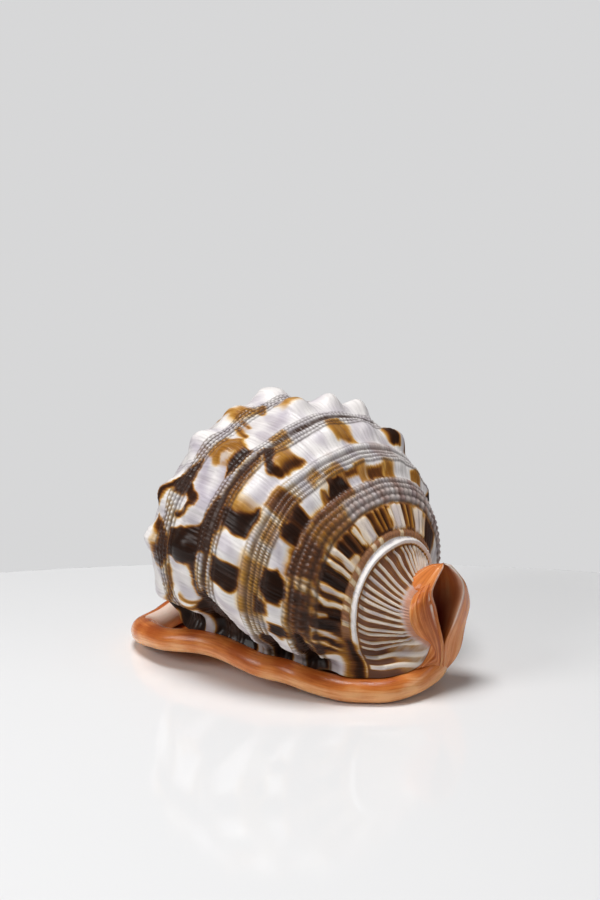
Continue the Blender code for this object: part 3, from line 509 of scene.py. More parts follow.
def shellPaint(angle, along, height):
    # depth of brown, violet with painted shade between knobs, rose and flesh tints, and dark grooves with
    # painted shade at each point
    scale = millimetresPerDegree(along)
    moved = angle + sum(uneven(angle, along, row) for row in paint["movedEdges"]) / scale
    shifted = along + sum(uneven(angle, along, row) for row in paint["shiftedEdges"])
    depth = np.zeros(angle.shape)
    # violet over the back in uneven patches
    violet = .55 * ramp(wobble(angle, along, 41, 16, 6), -.3, .9)
    rose = np.zeros(angle.shape)

    def lay(field, distance, value, soft):
        # a mark fades through amber at its edge
        share = 1 - ramp(distance, -soft, soft)
        return mix(field, value, share)

    # the side away from the lip carries the same kind of marks, spread by a fixed seed
    random = np.random.default_rng(12)
    for place, reach, low, high in paint["farRows"]:
        turn = paint["farStart"]
        while turn < paint["farEnd"]:
            wide = random.uniform(5, 11) if place < 80 else random.uniform(4, 8)
            top = max(low, place - reach * random.uniform(.6, 1.1))
            bottom = min(high, place + reach * random.uniform(.6, 1.1))
            corners = [(turn, top), (turn + wide, top + random.uniform(0, 2)), (turn + wide + 1, bottom),
                       (turn - random.uniform(0, 3), bottom)]
            value = random.choice(paint["farDepths"])
            distance = patchDistance(moved, shifted, corners)
            share = (1 - ramp(distance, -.7, .7)) * (1 - ramp(angle, 30 + .3 * place, 34 + .3 * place))
            depth = mix(depth, value, share)
            turn += wide + random.uniform(5, 13)
    for value, soft, halfWidth, points in paint["marks"]:
        soft = soft or paint["edge"]
        if halfWidth:
            distance = strokeDistance(moved, shifted, points) - halfWidth - .25
        else:
            distance = patchDistance(moved, shifted, points) - .3
        depth = lay(depth, distance, value, soft * paint["spread"])
    # painted grey violet shade between knobs
    for value, reach, points in paint["shades"]:
        violet = np.maximum(violet, value * np.exp(-(strokeDistance(moved, shifted, points) / reach) ** 2))
    start, end = paint["roseBand"]
    band = ramp(along, start - 1, start + .6) * (1 - ramp(along, end - .6, end + .6))
    band *= 1 - .8 * ramp(angle, 112, 134)
    rose = np.maximum(rose, band * (.55 + .4 * wobble(angle, along * .3, 44, 9, 6)))
    tint = np.exp(-((along - 85) / 4.5) ** 4) * ramp(wobble(angle, along * .4, 45, 14, 6), .1, .8)
    rose = np.maximum(rose, .5 * tint)

    # bars are lighter on their crests
    start, end = relief["barSpan"]
    onBar = window(along, start, end, .6)
    onBar *= np.exp(-(nearest(relief["bars"], barAngle(angle, along)) * scale / .9) ** 2)
    depth = np.maximum(depth - onBar * line(paint["barLight"], angle), np.minimum(depth, .12))

    # brown cord, white cord and fan
    cord = along - line(relief["brownCord"], angle)
    onCord = (1 - ramp(np.abs(cord), 1.0, 1.7)) * (1 - ramp(angle, 178, 190))
    depth = mix(depth, .34, onCord)
    rose = np.maximum(rose, .85 * onCord)
    bead = np.abs(nearest(paint["creamBeads"], angle)) * scale
    cream = onCord * (1 - ramp(bead, .7, 1.5))
    depth = mix(depth, .08, cream)
    rose = rose * (1 - cream)
    groove = line(relief["whiteCord"], angle) - .2
    inFan = ramp(along, groove + .9, groove + 1.7)
    across = np.abs(nearest(relief["ribs"], ribAngle(angle, along))) * scale
    width = np.interp(along, (122, 138), paint["ribWidth"])
    rib = (1 - ramp(across, width * .65, width * 1.25)) * ramp(along, groove + 1.2, groove + 2.4)
    pale = ramp(angle, 186, 198) * ramp(along, 125, 129)
    ground = paint["fanDepth"] - paint["fanPale"] * pale + .12 * wobble(angle, along * .5, 46, 4, 6)
    ground += .25 * ramp(angle, 184, 192) * (1 - ramp(along, 124, 131))
    depth = mix(depth, mix(ground, .03, rib), inFan * (1 - ramp(along, 137.5, 139.5)))
    rose = mix(rose, .45 * (1 - rib) * ramp(angle, 40, 120), inFan)
    onWhite = 1 - ramp(np.abs(along - line(relief["whiteCord"], angle)), .85, 1.25)
    onWhite = onWhite * (1 - ramp(angle, 184, 192))
    depth, rose, violet = (mix(field, 0, onWhite) for field in (depth, rose, violet))
    # flesh tint where the neck turns into the canal
    flesh = ramp(along, 137.5, 141)
    depth = depth * (1 - flesh)
    # hollows behind the lip are painted nearly black: dark brown, with painted shade in their depths
    for corners in relief["hollows"]:
        depth = lay(depth, patchDistance(moved, shifted, corners) + .4, 1.0, .8)
        violet = violet * (patchDistance(angle, along, corners) > -.5)
    # dark lines: painted shade in the grooves between the cords, and the growth lines that cross them
    cover = beadedCords(angle, along, height)[1]
    groove = 1 - cover
    warm = ramp(angle, 116, 132) * ramp(wobble(angle, along * .4, 49, 10, 6), -.5, .5)
    depth = np.maximum(depth, .14 * warm * ramp(groove, .15, .6) * (1 - inFan))
    swayed = angle + uneven(angle, along, paint["growthSway"])
    growth = .5 + .5 * np.cos(2 * np.pi * swayed / paint["growthPitch"])
    growth = growth ** 3 * ramp(wobble(angle, along, 48, 12, 7), -.1, .9)
    groove = np.maximum(groove * (.8 + .2 * growth), .2 * growth)
    groove = groove * (1 - inFan) * (1 - onWhite)
    return {"depth": depth, "violet": np.clip(violet, 0, 1), "rose": np.clip(rose, 0, 1), "flesh": flesh,
            "groove": groove}


# meshes

def keepInside(points, margin=1.5):
    # the last stretch before the sides and top of the frame's box is eased in, so nothing stands past it
    low, high = np.array(cadBox[0]) / mm, np.array(cadBox[1]) / mm
    over = np.maximum(points - (high - margin), 0)
    under = np.maximum(low + margin - points, 0) * np.array([1, 1, 0])
    eased = np.minimum(points, high - margin) + margin * (1 - np.exp(-over / margin))
    return eased + under - margin * (1 - np.exp(-under / margin))


def addPiece(name, points, faces, surface, fields=None):
    # points in millimetres about the spiral's axis; fields are numbers kept at each point
    placed = np.array(points, float).reshape(-1, 3)
    placed[:, :2] -= boxCentre
    placed = keepInside(placed)
    mesh = bpy.data.meshes.new(name)
    faces = np.asarray(faces, np.int32)
    corners = faces.shape[1]
    mesh.vertices.add(len(placed))
    mesh.vertices.foreach_set("co", (placed * mm).astype(np.float32).ravel())
    mesh.loops.add(faces.size)
    mesh.loops.foreach_set("vertex_index", faces.ravel())
    mesh.polygons.add(len(faces))
    mesh.polygons.foreach_set("loop_start", np.arange(0, faces.size, corners, dtype=np.int32))
    mesh.update(calc_edges=True)
    mesh.validate()
    mesh.shade_smooth()
    for label, values in (fields or {}).items():
        kept = mesh.attributes.new(label, "FLOAT", "POINT")
        kept.data.foreach_set("value", np.asarray(values, np.float32).ravel())
    mesh.materials.append(surface)
    piece = bpy.data.objects.new(name, mesh)
    bpy.context.scene.collection.objects.link(piece)
    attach(piece, "root")
    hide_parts("helmet_shell")
    print(name, len(faces) * (corners - 2), "triangles")
    return piece


def gridFaces(rows, columns, closed=False):
    corner = np.arange(rows * columns).reshape(rows, columns)
    if closed:
        corner = np.hstack([corner, corner[:, :1]])
    return np.stack([corner[:-1, :-1], corner[1:, :-1], corner[1:, 1:], corner[:-1, 1:]], -1).reshape(-1, 4)


# shader building

class Wire:
    # a socket that sums can be written with; each sum adds its Math node
    def __init__(self, tree, socket):
        self.tree = tree
        self.socket = socket

    def node(self, kind, settings, inputs, output=0):
        made = self.tree.nodes.new(kind)
        for name, value in settings.items():
            if name == "stops":
                stops = made.color_ramp.elements
                while len(stops) < len(value):
                    stops.new(1)
                for stop, (place, colour) in zip(stops, value):
                    stop.position = place
                    stop.color = (*colour, 1)
            else:
                setattr(made, name, value)
        for name, value in inputs.items():
            if isinstance(value, Wire):
                self.tree.links.new(value.socket, made.inputs[name])
            else:
                made.inputs[name].default_value = value
        return Wire(self.tree, made.outputs[output])

    def sum(self, operation, first, second=0.0, hold=False):
        return self.node("ShaderNodeMath", {"operation": operation, "use_clamp": hold}, {0: first, 1: second})

    def __add__(self, other):
        return self.sum("ADD", self, other)

    __radd__ = __add__

    def __sub__(self, other):
        return self.sum("SUBTRACT", self, other)

    def __rsub__(self, other):
        return self.sum("SUBTRACT", other, self)

    def __mul__(self, other):
        return self.sum("MULTIPLY", self, other)

    __rmul__ = __mul__

    def held(self):
        return self.sum("ADD", self, 0.0, hold=True)

    def step(self, low, high):
        return self.node("ShaderNodeMapRange", {"interpolation_type": "SMOOTHSTEP"},
                         {"Value": self, "From Min": low, "From Max": high})

    def blend(self, first, second):
        # mix of two colours by this value
        sockets = {0: self}
        for place, colour in ((6, first), (7, second)):
            sockets[place] = colour if isinstance(colour, Wire) else (*colour, 1)
        return self.node("ShaderNodeMix", {"data_type": "RGBA"}, sockets, output=2)

    def field(self, name):
        return self.node("ShaderNodeAttribute", {"attribute_name": name}, {}, output=2)

    def noise(self, vector, scale, detail=3.0, roughness=.5):
        return self.node("ShaderNodeTexNoise", {}, {"Vector": vector, "Scale": scale, "Detail": detail,
                                                    "Roughness": roughness})

    def fields(self, *names):
        return (self.field(name) for name in names)

    def vector(self, x, y, z=0.0):
        return self.node("ShaderNodeCombineXYZ", {}, {"X": x, "Y": y, "Z": z})


def newFinish(name):
    # a material with its shader, and the wire that nodes are added from
    made = bpy.data.materials.new(name)
    made.use_nodes = True
    tree = made.node_tree
    shader = tree.nodes["Principled BSDF"]
    place = Wire(tree, None).node("ShaderNodeTexCoord", {}, {}, output="Object")
    return made, shader, place


def plug(shader, inputs):
    for name, value in inputs.items():
        if isinstance(value, Wire):
            value.tree.links.new(value.socket, shader.inputs[name])
        else:
            shader.inputs[name].default_value = value


backFinish = {
    "white": (.87, .83, .81),
    "cream": (.80, .63, .42),
    "amber": (.56, .29, .06),
    "gold": (.33, .135, .02),
    "brown": (.14, .046, .011),
    "dark": (.045, .014, .004),
    "black": (.016, .006, .003),
    # violet: uneven tint, and painted shade between knobs
    "violet": (.40, .35, .42),
    # grey: painted shade in low places, and growth lines
    "grey": (.30, .24, .25),
    # groove: painted shade between the cords, and the growth lines
    "groove": (.052, .028, .02),
    "rose": (.30, .14, .09),
    "flesh": (.64, .26, .12),
    "roughness": .25,
    "coat": .05,
    "gloss": .15,
}


def backMaterial():
    look = backFinish
    made, shader, place = newFinish("brownAndWhiteBack")
    depth, violet, rose, flesh, groove = place.fields("depth", "violet", "rose", "flesh", "groove")
    turn, along, rise = place.fields("turn", "along", "rise")
    streak = place.noise(place.vector(turn * 1.4, along * .07), 1.0, 4, .6)
    cloud = place.noise(place, 130.0, 4, .55)
    blotch = (streak - .5) * .34 + (cloud - .5) * .3
    shown = (depth + blotch * depth.step(.02, .4)).held()
    pigment = place.node("ShaderNodeValToRGB", {"stops": [
        (0, look["white"]), (.07, look["cream"]), (.2, look["amber"]), (.4, look["gold"]),
        (.6, look["brown"]), (.8, look["dark"]), (1, look["black"])]}, {"Fac": shown})
    light = 1 - depth.step(.05, .4)
    # violet on the pale ground: uneven patches, and painted shade between the knobs
    base = (violet * light * (.6 + streak * .8)).held().blend(pigment, look["violet"])
    base = (rose * (.55 + .6 * streak)).held().blend(base, look["rose"])
    base = (flesh * (.8 + .3 * streak)).held().blend(base, look["flesh"])
    scratch = place.noise(place.vector(turn * 3.2, along * .05, 4.0), 1.0, 3, .6)
    # grey over low places is painted shade; the scratch streaks add grey growth lines
    recessShadeAndLines = (.5 * (1 - rise.step(-.5, .5)) + .3 * scratch.step(.56, .75)) * light
    base = recessShadeAndLines.held().blend(base, look["grey"])
    # the grooves between cords are darkened with painted shade, and the growth lines with them
    dark = groove * (.9 + .5 * cloud)
    base = dark.held().blend(base, look["groove"])
    rough = look["roughness"] + .12 * (cloud - .5) + .1 * streak
    bump = place.node("ShaderNodeBump", {}, {"Strength": .35, "Distance": .00025,
                                             "Height": streak + scratch * .6})
    plug(shader, {"Base Color": base, "Roughness": rough, "Normal": bump, "Coat Weight": look["coat"],
                  "Coat Roughness": .12, "Specular IOR Level": look["gloss"]})
    return made


lipFinish = {
    "peach": (.88, .44, .18),
    "orange": (.66, .205, .045),
    "deep": (.40, .085, .014),
    "pale": (.90, .76, .66),
    # colour of the painted shade inside the mouth and canal
    "inside": (.15, .014, .005),
    "roughness": .22,
    "coat": .16,
    "gloss": .3,
}


def lipMaterial():
    look = lipFinish
    made, shader, place = newFinish("orangeLip")
    tone, chalk, shade, grainX, grainY = place.fields("tone", "chalk", "shade", "grainX", "grainY")
    cloud = place.noise(place, 60.0, 4, .6)
    streak = place.noise(place.vector(grainX, grainY), 1.0, 4, .6)
    level = (tone + (cloud - .5) * .9 + (streak - .5) * 1.1).held()
    base = place.node("ShaderNodeValToRGB", {"stops": [(0, look["peach"]), (.5, look["orange"]),
                                                       (1, look["deep"])]}, {"Fac": level})
    base = (chalk * (.6 + .8 * cloud)).held().blend(base, look["pale"])
    # painted shade inside the mouth and the canal, and the dark spot on the lip's end
    base = shade.blend(base, look["inside"])
    rough = look["roughness"] + .25 * chalk + .16 * (cloud - .5)
    bump = place.node("ShaderNodeBump", {}, {"Strength": .4, "Distance": .0004, "Height": streak})
    plug(shader, {"Base Color": base, "Roughness": rough.held(), "Normal": bump, "Coat Weight": look["coat"],
                  "Coat Roughness": .1, "Specular IOR Level": look["gloss"],
                  "Subsurface Weight": .06, "Subsurface Radius": (.004, .0015, .0008)})
    return made


backSurface = backMaterial()
lipSurface = lipMaterial()
print("finishes made")


# last turn, in three bands that share their edges

bands = {
    # growth angles of the columns, closest where the photograph's side is
    "columns": np.concatenate([np.arange(-136, 38, .8), np.arange(38, 183, .33), np.arange(183, 211.6, .3)]),
    # distance along where each stretch of rows begins, and the spacing there
    "rows": {"shoulderBand": [(0, .85), (38.5, .36), (48, .75), (61.5, .32), (67.3, 0)],
             "middleBand": [(67.3, .32), (72, .6), (80, .3), (89.5, .45), (94.9, 0)],
             "frontBand": [(94.9, .32), (106, .5), (116, .27), (123, .5), (142, 0)]},
}


def makeBands():
    angles = bands["columns"]
    for name, stretches in bands["rows"].items():
        alongs = [stretches[-1][0]]
        for (low, spacing), (high, _) in zip(stretches[:-1], stretches[1:]):
            alongs += list(np.linspace(low, high, round((high - low) / spacing), endpoint=False))
        alongs = np.sort(alongs)
        angle, along = np.meshgrid(angles, alongs, indexing="ij")
        height = ornament(angle, along)
        points = smoothSurface(angle, along) + surfaceNormal(angle, along) * height[..., None]
        fields = shellPaint(angle, along, height)
        fields.update(turn=angle, along=along, rise=height)
        addPiece(name, points, gridFaces(*angle.shape), backSurface, fields)


makeBands()


# spire: each earlier turn is a smaller copy of the bare strip of the next one

spire = {"turns": 8, "columns": 260, "rows": 34}


def makeSpire():
    shape = turnShape
    apex, end = shape["apex"], shape["end"]
    angles = np.linspace(shape["start"], end, spire["columns"])
    alongs = np.linspace(0, shape["cover"], spire["rows"])
    angle, along = np.meshgrid(angles, alongs, indexing="ij")
    height = ornament(angle, along)
    strip = smoothSurface(angle, along) + surfaceNormal(angle, along) * height[..., None]
    near = ramp(angles, end - 90, end)[:, None, None]
    wanted = strip[0]
    fields = shellPaint(angle, along, height)
    fields.update(turn=angle, along=along, rise=height)
    for turn in range(1, spire["turns"] + 1):
        copy = apex + (strip - apex) / shape["expansion"] ** turn
        copy = copy + (wanted - copy[-1])[None] * near
        wanted = copy[0].copy()
        addPiece("spireTurn%d" % turn, copy, gridFaces(*angle.shape), backSurface, fields)


makeSpire()


# lip and shield: a bead round the foot, the underside, the teeth and the mouth

foot = {
    # x, y, height of the rim, how far its underside lifts, how far the callus climbs on the shell behind it
    "outline": [(-67, -31, 11, 0, 0), (-62.5, -43.5, 11.5, 0, 0), (-52, -51.5, 13, 2.2, 0),
                (-42, -54.2, 14, 4.2, 0), (-33, -55.2, 14.8, 5.4, 0), (-25, -53.5, 15.6, 6.3, 0),
                (-16, -50.5, 16.5, 7.1, 0), (-6, -48.8, 16.5, 7.1, 0), (6, -48.6, 15.7, 6.3, 0),
                (17, -47.4, 14.6, 5.3, 0), (25.5, -43.6, 13.8, 4.4, 0), (33.5, -41, 12.4, 3.2, 0),
                (41, -37, 10.8, 1.4, 0), (48.3, -33, 9.7, .3, 0), (54.5, -27.8, 9.2, 0, 0),
                (60.5, -21.8, 9.3, 0, 1), (64.6, -14.6, 10.2, .6, 3), (66.3, -6, 12, 1.6, 5),
                (66.5, 2, 14.5, 2.8, 6), (64, 10, 15, 3.5, 5), (57, 18.5, 13.5, 3.4, 3),
                (45, 27.5, 12, 2, 0), (32, 35, 11, .6, 0), (18, 40.5, 12, 0, 0), (3, 43.5, 13, 0, 0),
                (-12, 44, 14, 0, 0), (-27, 41, 15, .4, 0), (-41, 34, 16, 1.4, 0), (-53, 23, 16, 2.6, 0),
                (-61, 9, 15, 3, 0), (-66, -6, 14, 2.4, 0), (-69, -20, 13, .8, 0)],
    # step, offset outward, share of the way to the spine, share of the rim's height, share of the callus
    # climb, and the angle round the bead of the lip
    "section": [(0, -9, .55, 1.05, 1, 215), (1, -8.6, .3, 1.03, .8, 190), (2, -7.6, .06, 1.03, .3, 165),
                (3, -6, 0, 1, 0, 135), (4, -3.4, 0, .93, 0, 105), (5, -1.4, 0, .8, 0, 75),
                (6, -.25, 0, .6, 0, 45), (7, 0, 0, .42, 0, 15), (8, -.5, 0, .24, 0, -15),
                (9, -1.6, 0, .1, 0, -45), (10, -3.6, 0, 0, 0, -75), (11, -6, 0, -.03, 0, -100),
                (12, -8.5, 0, 0, 0, -125)],
    # x, y of the mouth's middle, half width
    "mouth": [(-54, -27, 1.2), (-44, -25, 3.4), (-30, -22.5, 4.8), (-10, -20.5, 5.6), (10, -19, 5.8),
              (28, -17, 5.8), (42, -12, 5.4), (50, -5, 4.6), (56, 2, 3.8)],
    "mouthLevel": 4.6,
    # the hollow above the mouth: height, how wide it is beside the mouth
    "throat": [(6.5, 1.04), (9, 1.15), (12, 1.35), (16, 1.6), (21, 1.8), (26, 1.4), (28, .6), (28.5, .05)],
    "sectionRings": 60,
    "mouthRings": 25,
    "toothDepth": 1.5,
    "darkSpot": (-60, -36),     # on the white face of the lip's end
    "around": 760,
    "teeth": 19,
    "folds": 13,
}


def closedCurve(table, count):
    rows = np.array(table, float)
    wrapped = np.vstack([rows[-3:], rows, rows[:4]])
    steps = np.arange(-3, len(rows) + 4)
    return curve(np.column_stack([steps, wrapped]), np.linspace(0, len(rows), count, endpoint=False))


def makeFoot():
    rim = closedCurve(foot["outline"], foot["around"])
    ahead = np.roll(rim[:, :2], -1, axis=0) - np.roll(rim[:, :2], 1, axis=0)
    outward = np.column_stack([ahead[:, 1], -ahead[:, 0]])
    outward /= np.linalg.norm(outward, axis=1, keepdims=True)
    if outward[0] @ rim[0, :2] < 0:
        outward = -outward
    spine = np.column_stack([np.clip(rim[:, 0] * .75, -46, 46), np.full(len(rim), -4.0)])
    # the lip has a round section whose inner side drops behind its top; the shield runs on up the shell
    onLip = ramp(-rim[:, 1], 6, 16)[:, None]
    radius = (rim[:, 2] - rim[:, 3]) / 2
    middle = rim[:, 3] + radius
    rings = []
    steps = np.linspace(0, 12, foot["sectionRings"])
    for offset, inward, share, climb, turn in curve(foot["section"], steps):
        flat = mix(rim[:, :2] + outward * offset, spine, inward)
        height = rim[:, 3] + share * (rim[:, 2] - rim[:, 3]) + climb * rim[:, 4]
        onShield = np.column_stack([flat, np.maximum(height, 0)])
        bend = np.radians(turn)
        out = rim[:, :2] + outward * (radius * (np.cos(bend) - 1))[:, None]
        onBead = np.column_stack([out, np.maximum(middle + radius * np.sin(bend), 0)])
        rings.append(mix(onShield, onBead, onLip))
    last = rings[-1]
    # edge of the mouth opposite each point of the rim
    slit = foot["mouth"]
    lipSide = last[:, 1] < np.interp(last[:, 0], [row[0] for row in slit], [row[1] for row in slit])
    x = np.interp(last[:, 0], [-60, -40, 45, 60], [-43, -34, 44, 52])
    middle, half = curve(slit, x).T
    side = np.where(lipSide, -1.0, 1.0)
    near = np.abs(last[:, 1] - middle) / (np.abs(last[:, 1] - middle) + 4)
    level = foot["mouthLevel"]
    edge = np.column_stack([x, middle + side * half * near, np.full(len(x), level)])
    tooth = np.cos(np.pi * np.clip((x + 40) / 84, 0, 1) * 2 * foot["teeth"]) * .5 + .5
    fold = np.cos(np.pi * np.clip((x + 30) / 76, 0, 1) * 2 * foot["folds"]) * .5 + .5
    ridge = np.where(lipSide, tooth ** 1.5, fold ** 2 * .7)
    for share in np.linspace(0, 1, foot["mouthRings"] + 1)[1:]:
        ring = mix(last, edge, share)
        rise = share * share * (3 - 2 * share)
        bulge = np.where(lipSide, 0, 2.2 * np.sin(np.pi * share))
        ring[:, 2] = mix(last[:, 2], level, rise) - bulge * .3
        strength = np.exp(-((share - .86) / .16) ** 2)
        ring[:, 2] -= foot["toothDepth"] * ridge * strength
        ring[:, 2] = np.maximum(ring[:, 2], 0)
        rings.append(ring)
    for height, spread in foot["throat"]:
        above = height - level
        y = middle + side * half * near * spread - above * .2
        rings.append(np.column_stack([x * (1 - .02 * above / 10), y, np.full(len(x), height)]))
    points = np.array(rings)
    count, around = points.shape[:2]
    ring = np.arange(count)[:, None] * np.ones(around)
    rimHeight = points[..., 2] / np.maximum(rim[:, 2], 1)[None]
    arc = np.cumsum(np.hypot(*(ahead / 2).T))
    tone = np.full((count, around), .45)
    tone = np.where(ring < foot["sectionRings"], mix(.05, .8, ramp(rimHeight, .4, .95)), tone)
    tone += .25 * wobble(np.broadcast_to(arc, ring.shape), ring * .6, 51, 18, 7)
    # the end towards the spire curls up and shows a white face with a dark spot
    x, y = points[..., 0], points[..., 1]
    chalk = (ring < 22) * (1 - ramp(x, -58, -50)) * ramp(y, -47, -43) * (1 - ramp(y, -24, -18)) * .8
    mouthRing = foot["sectionRings"] + foot["mouthRings"]
    # painted shade inside the shell above the mouth
    inside = ramp(ring, mouthRing, mouthRing + 4)
    spotX, spotY = foot["darkSpot"]
    spot = .97 * (1 - ramp(np.hypot((x - spotX) / 1.5, y - spotY), 2, 3.2)) * (ring < 14)
    fields = {"tone": tone, "chalk": chalk, "shade": np.maximum(inside, spot),
              "grainX": np.broadcast_to(arc, ring.shape) * .08, "grainY": ring * .5}
    addPiece("lipAndShield", points, gridFaces(count, around, closed=True), lipSurface, fields)


makeFoot()


# canal: a gutter with a left wall that carries on from the neck, and a fuller right wall

canal = {
    # height, left rim x y, back of the gutter x y, right rim x y, outer right side x y, left root x y
    "walls": [(6, 64, 2, 60, 4, 64, 5.5, 60, 12, 50, 0), (10, 65.5, 3.5, 59, 6, 65, 6, 63, 14, 50, -1),
              (15, 66, 4.4, 57, 7, 65.5, 6, 64, 17.5, 48, -2),
              (20, 66, 4.2, 54, 8, 66, 6.6, 63, 20.5, 48, -3),
              (25, 65.5, 3, 51, 8.5, 66.5, 9.6, 62, 23.5, 48, -3),
              (30, 65, 1.6, 49, 9, 66.5, 12.5, 62, 25, 48, -2),
              (36, 64.5, .2, 48, 9, 66, 15.5, 61.5, 24, 49, -1),
              (41, 64, -.8, 49, 8.5, 65, 16, 61, 21.5, 51, 0),
              (45, 63.6, 2, 52, 8.6, 64, 14, 60, 17.5, 54, 3),
              (48, 63, 5.6, 56, 9, 63, 11.6, 60, 13, 57, 6),
              (50, 62.4, 8.2, 60, 9, 62.4, 9.8, 61, 10.4, 60, 8)],
    "wall": 1.1,
    "foot": 6,
    "tip": 50,
    "rows": 150,
    "around": 200,
    "fold": .12,                # unevenness of the walls in mm
    # edge of the left wall, x y z, from the lip's bead up to the tip, and how far the sheet beside it bulges
    "sheetEdge": [(62.1, -6.4, 11.7), (63.4, -3, 11.4), (64.6, .6, 10.4), (65.6, 3.6, 10), (66, 4.2, 16),
                  (65.7, 3.4, 23), (65, 1.4, 30), (64.4, 0, 36), (64, -.6, 41), (63.4, 2, 45),
                  (62.6, 6, 48.2), (62, 8.6, 49.6)],
    "sheetBulge": .8,
    # where the sheet starts: growth angles at the lip and at the neck's far side, distances along
    "sheetStart": (211.6, 84, 131, 142),
    "sheetFold": .14,
}


def makeCanal():
    height = np.linspace(canal["foot"], canal["tip"], canal["rows"])
    rows = curve(canal["walls"], height)
    around = canal["around"]
    left, back, right, outer, root = (rows[:, 2 * i:2 * i + 2] for i in range(5))
    wall = canal["wall"]
    sections = []
    for i in range(len(rows)):
        # left root, left rim from outside to inside, back, right rim, outer side, and behind
        behind = 1 - ramp(height[i], 36, 49)
        loop = [root[i], mix(root[i], left[i], .6) + (0, -.6), left[i] + (0, -wall * .4),
                left[i] + (wall * .45, .3), left[i] + (0, wall), mix(left[i], back[i], .5) + (0, .6), back[i],
                mix(right[i], back[i], .5) + (0, .8), right[i] + (0, -wall * .5), right[i] + (wall * .5, .5),
                right[i] + (.2, wall * 1.2), mix(right[i], outer[i], .6) + (1.2, 0), outer[i],
                outer[i] + (-7 * behind, 0), back[i] + (-4 * behind, 6 * behind)]
        loop = np.array(loop)
        loop = mix(loop, loop.mean(axis=0), ramp(height[i], 48.6, canal["tip"]))
        steps = np.arange(len(loop))
        closed = np.vstack([loop[-3:], loop, loop[:4]])
        at = np.linspace(0, len(loop), around, endpoint=False)
        sections.append(curve(np.column_stack([np.arange(-3, len(loop) + 4), closed]), at))
    tall = np.broadcast_to(height[:, None], (len(rows), around))
    points = np.concatenate([np.array(sections), tall[..., None]], -1)
    # place round the section, in steps of its 15 points
    step = np.broadcast_to(at, tall.shape)
    inner = ramp(step, 3.4, 4.8) * (1 - ramp(step, 7.0, 8.4))
    folds = canal["fold"] * wobble(step * 3, tall * .1, 61, 1.2, 7)[..., None] * np.array([1, -1, 0])
    points = points + folds * (1 - inner)[..., None]
    tone = .45 + .35 * wobble(step * 4, tall * .1, 62, 5, 6)
    rightRim = np.exp(-((step - 9) / .8) ** 2) * ramp(tall, 22, 30) * 1.2
    leftRim = np.exp(-((step - 3) / .5) ** 2) * ramp(tall, 30, 40) * .5
    # painted shade deep in the canal, lighter towards its top
    shade = inner * mix(1, .45, ramp(tall, 28, 46))
    fields = {"tone": tone, "chalk": rightRim + leftRim, "shade": shade, "grainX": step * 6,
              "grainY": tall * .05}
    addPiece("canal", points, gridFaces(*tall.shape, closed=True), lipSurface, fields)


def makeNeckSheet():
    # from the end of the fan and the neck's end across to the edge of the canal's left wall
    lipAngle, lastAngle, fanAlong, neckAlong = canal["sheetStart"]
    alongs = np.linspace(fanAlong, neckAlong, 60)
    angles = np.linspace(lipAngle, lastAngle, 180)[1:]
    start = np.vstack([smoothSurface(lipAngle, alongs), smoothSurface(angles, neckAlong)])
    walked = np.concatenate([[0], np.cumsum(np.linalg.norm(np.diff(start, axis=0), axis=1))])
    knots = np.linspace(0, 1, len(canal["sheetEdge"]))
    edge = curve(np.column_stack([knots, canal["sheetEdge"]]), walked / walked[-1])
    share = np.linspace(0, 1, 40)[None, :, None]
    points = mix(start[:, None], edge[:, None], share)
    points = points + np.array([1, -.4, 0]) * canal["sheetBulge"] * np.sin(np.pi * share)
    across = np.broadcast_to(share[..., 0], points.shape[:2])
    up = np.broadcast_to(walked[:, None], points.shape[:2])
    folds = canal["sheetFold"] * wobble(across * 9, up * .12, 71, 1.6, 7)
    points = points + folds[..., None] * np.array([1, -1, 0])
    tone = .5 + .4 * across + .3 * wobble(across * 10, up * .15, 72, 3, 6)
    chalk = ramp(across, .84, .94) * ramp(wobble(up, across, 73, 4, 5), -.4, .3) * ramp(up, 20, 26)
    fields = {"tone": tone, "chalk": chalk, "shade": np.zeros(up.shape), "grainX": across * 30,
              "grainY": up * .05}
    addPiece("neckSheet", points, gridFaces(*up.shape), lipSurface, fields)


makeCanal()
makeNeckSheet()


# floor, light and camera

studio = {
    "table": (.86, .86, .865),
    "tableSize": .62,
    "wall": (.68, .68, .685),       # what the camera sees behind the table
    "fill": .18,                    # share of the wall's light that reaches the shell
    # place, size and power of each soft light
    "lights": {"softboxLeft": ((-.3, -1.0, .66), .5, 5.2), "softboxTop": ((-.12, -.1, 1.1), .42, 10),
               "softboxRight": ((1.2, .35, .6), .7, 2.4)},
}


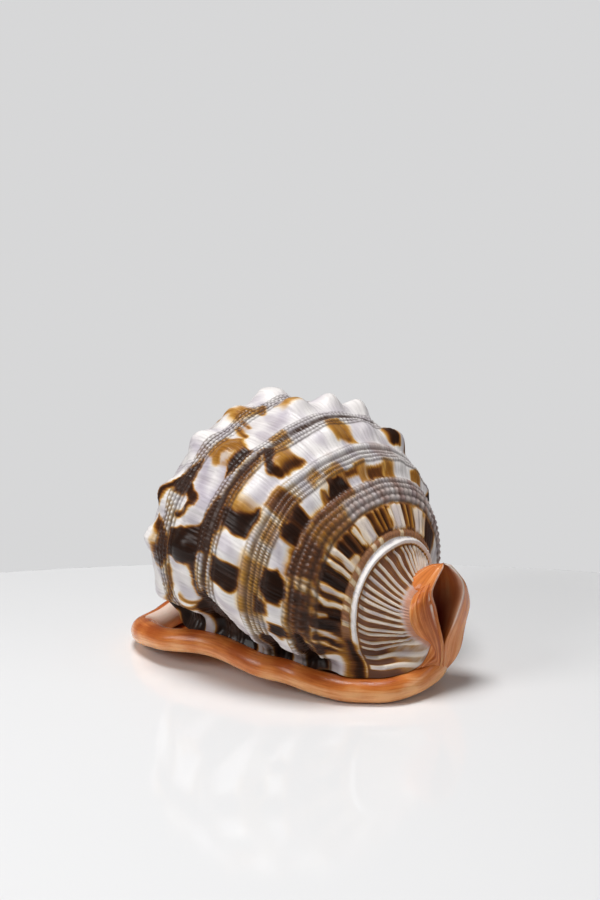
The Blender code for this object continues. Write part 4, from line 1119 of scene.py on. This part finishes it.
def makeStudio():
    made, shader, place = newFinish("paleTable")
    plug(shader, {"Base Color": (*studio["table"], 1), "Roughness": .09, "Specular IOR Level": .5})
    turn = np.linspace(0, 2 * np.pi, 128, endpoint=False)
    corners = np.column_stack([np.cos(turn), np.sin(turn), np.zeros(128)]) * studio["tableSize"]
    corners[:, :2] += np.array([1, -1]) * (studio["tableSize"] - .125) * .7071
    mesh = bpy.data.meshes.new("table")
    mesh.from_pydata([tuple(c) for c in corners], [], [tuple(range(128))])
    mesh.materials.append(made)
    floor = bpy.data.objects.new("table", mesh)
    bpy.context.scene.collection.objects.link(floor)
    world = bpy.data.worlds.new("studio")
    bpy.context.scene.world = world
    world.use_nodes = True
    sky = Wire(world.node_tree, None)
    seen = sky.node("ShaderNodeLightPath", {}, {})
    strength = seen + (1 - seen) * studio["fill"]
    backdrop = world.node_tree.nodes["Background"]
    backdrop.inputs["Color"].default_value = (*studio["wall"], 1)
    world.node_tree.links.new(strength.socket, backdrop.inputs["Strength"])
    for name, (place, size, power) in studio["lights"].items():
        light = bpy.data.lights.new(name, "AREA")
        light.shape = "SQUARE"
        light.size = size
        light.energy = power
        lamp = bpy.data.objects.new(name, light)
        lamp.location = place
        lamp.rotation_euler = (Vector((0, 0, .04)) - Vector(place)).to_track_quat("-Z", "Y").to_euler()
        bpy.context.scene.collection.objects.link(lamp)
    bpy.context.scene.view_settings.view_transform = "Standard"


view = {
    "place": (.44065, -.43905, .230),
    "down": 13.1,               # degrees below the horizon
    "heading": 45.45,
    "lens": 64,
    "sensorHeight": 36,
}


def makeCamera():
    data = bpy.data.cameras.new("camera")
    data.sensor_fit = "VERTICAL"
    data.sensor_height = view["sensorHeight"]
    data.lens = view["lens"]
    data.clip_start = .01
    camera = bpy.data.objects.new("camera", data)
    camera.location = view["place"]
    camera.rotation_euler = Euler((math.radians(90 - view["down"]), 0, math.radians(view["heading"])))
    bpy.context.scene.collection.objects.link(camera)
    bpy.context.scene.camera = camera


makeStudio()
makeCamera()
print("studio ready")
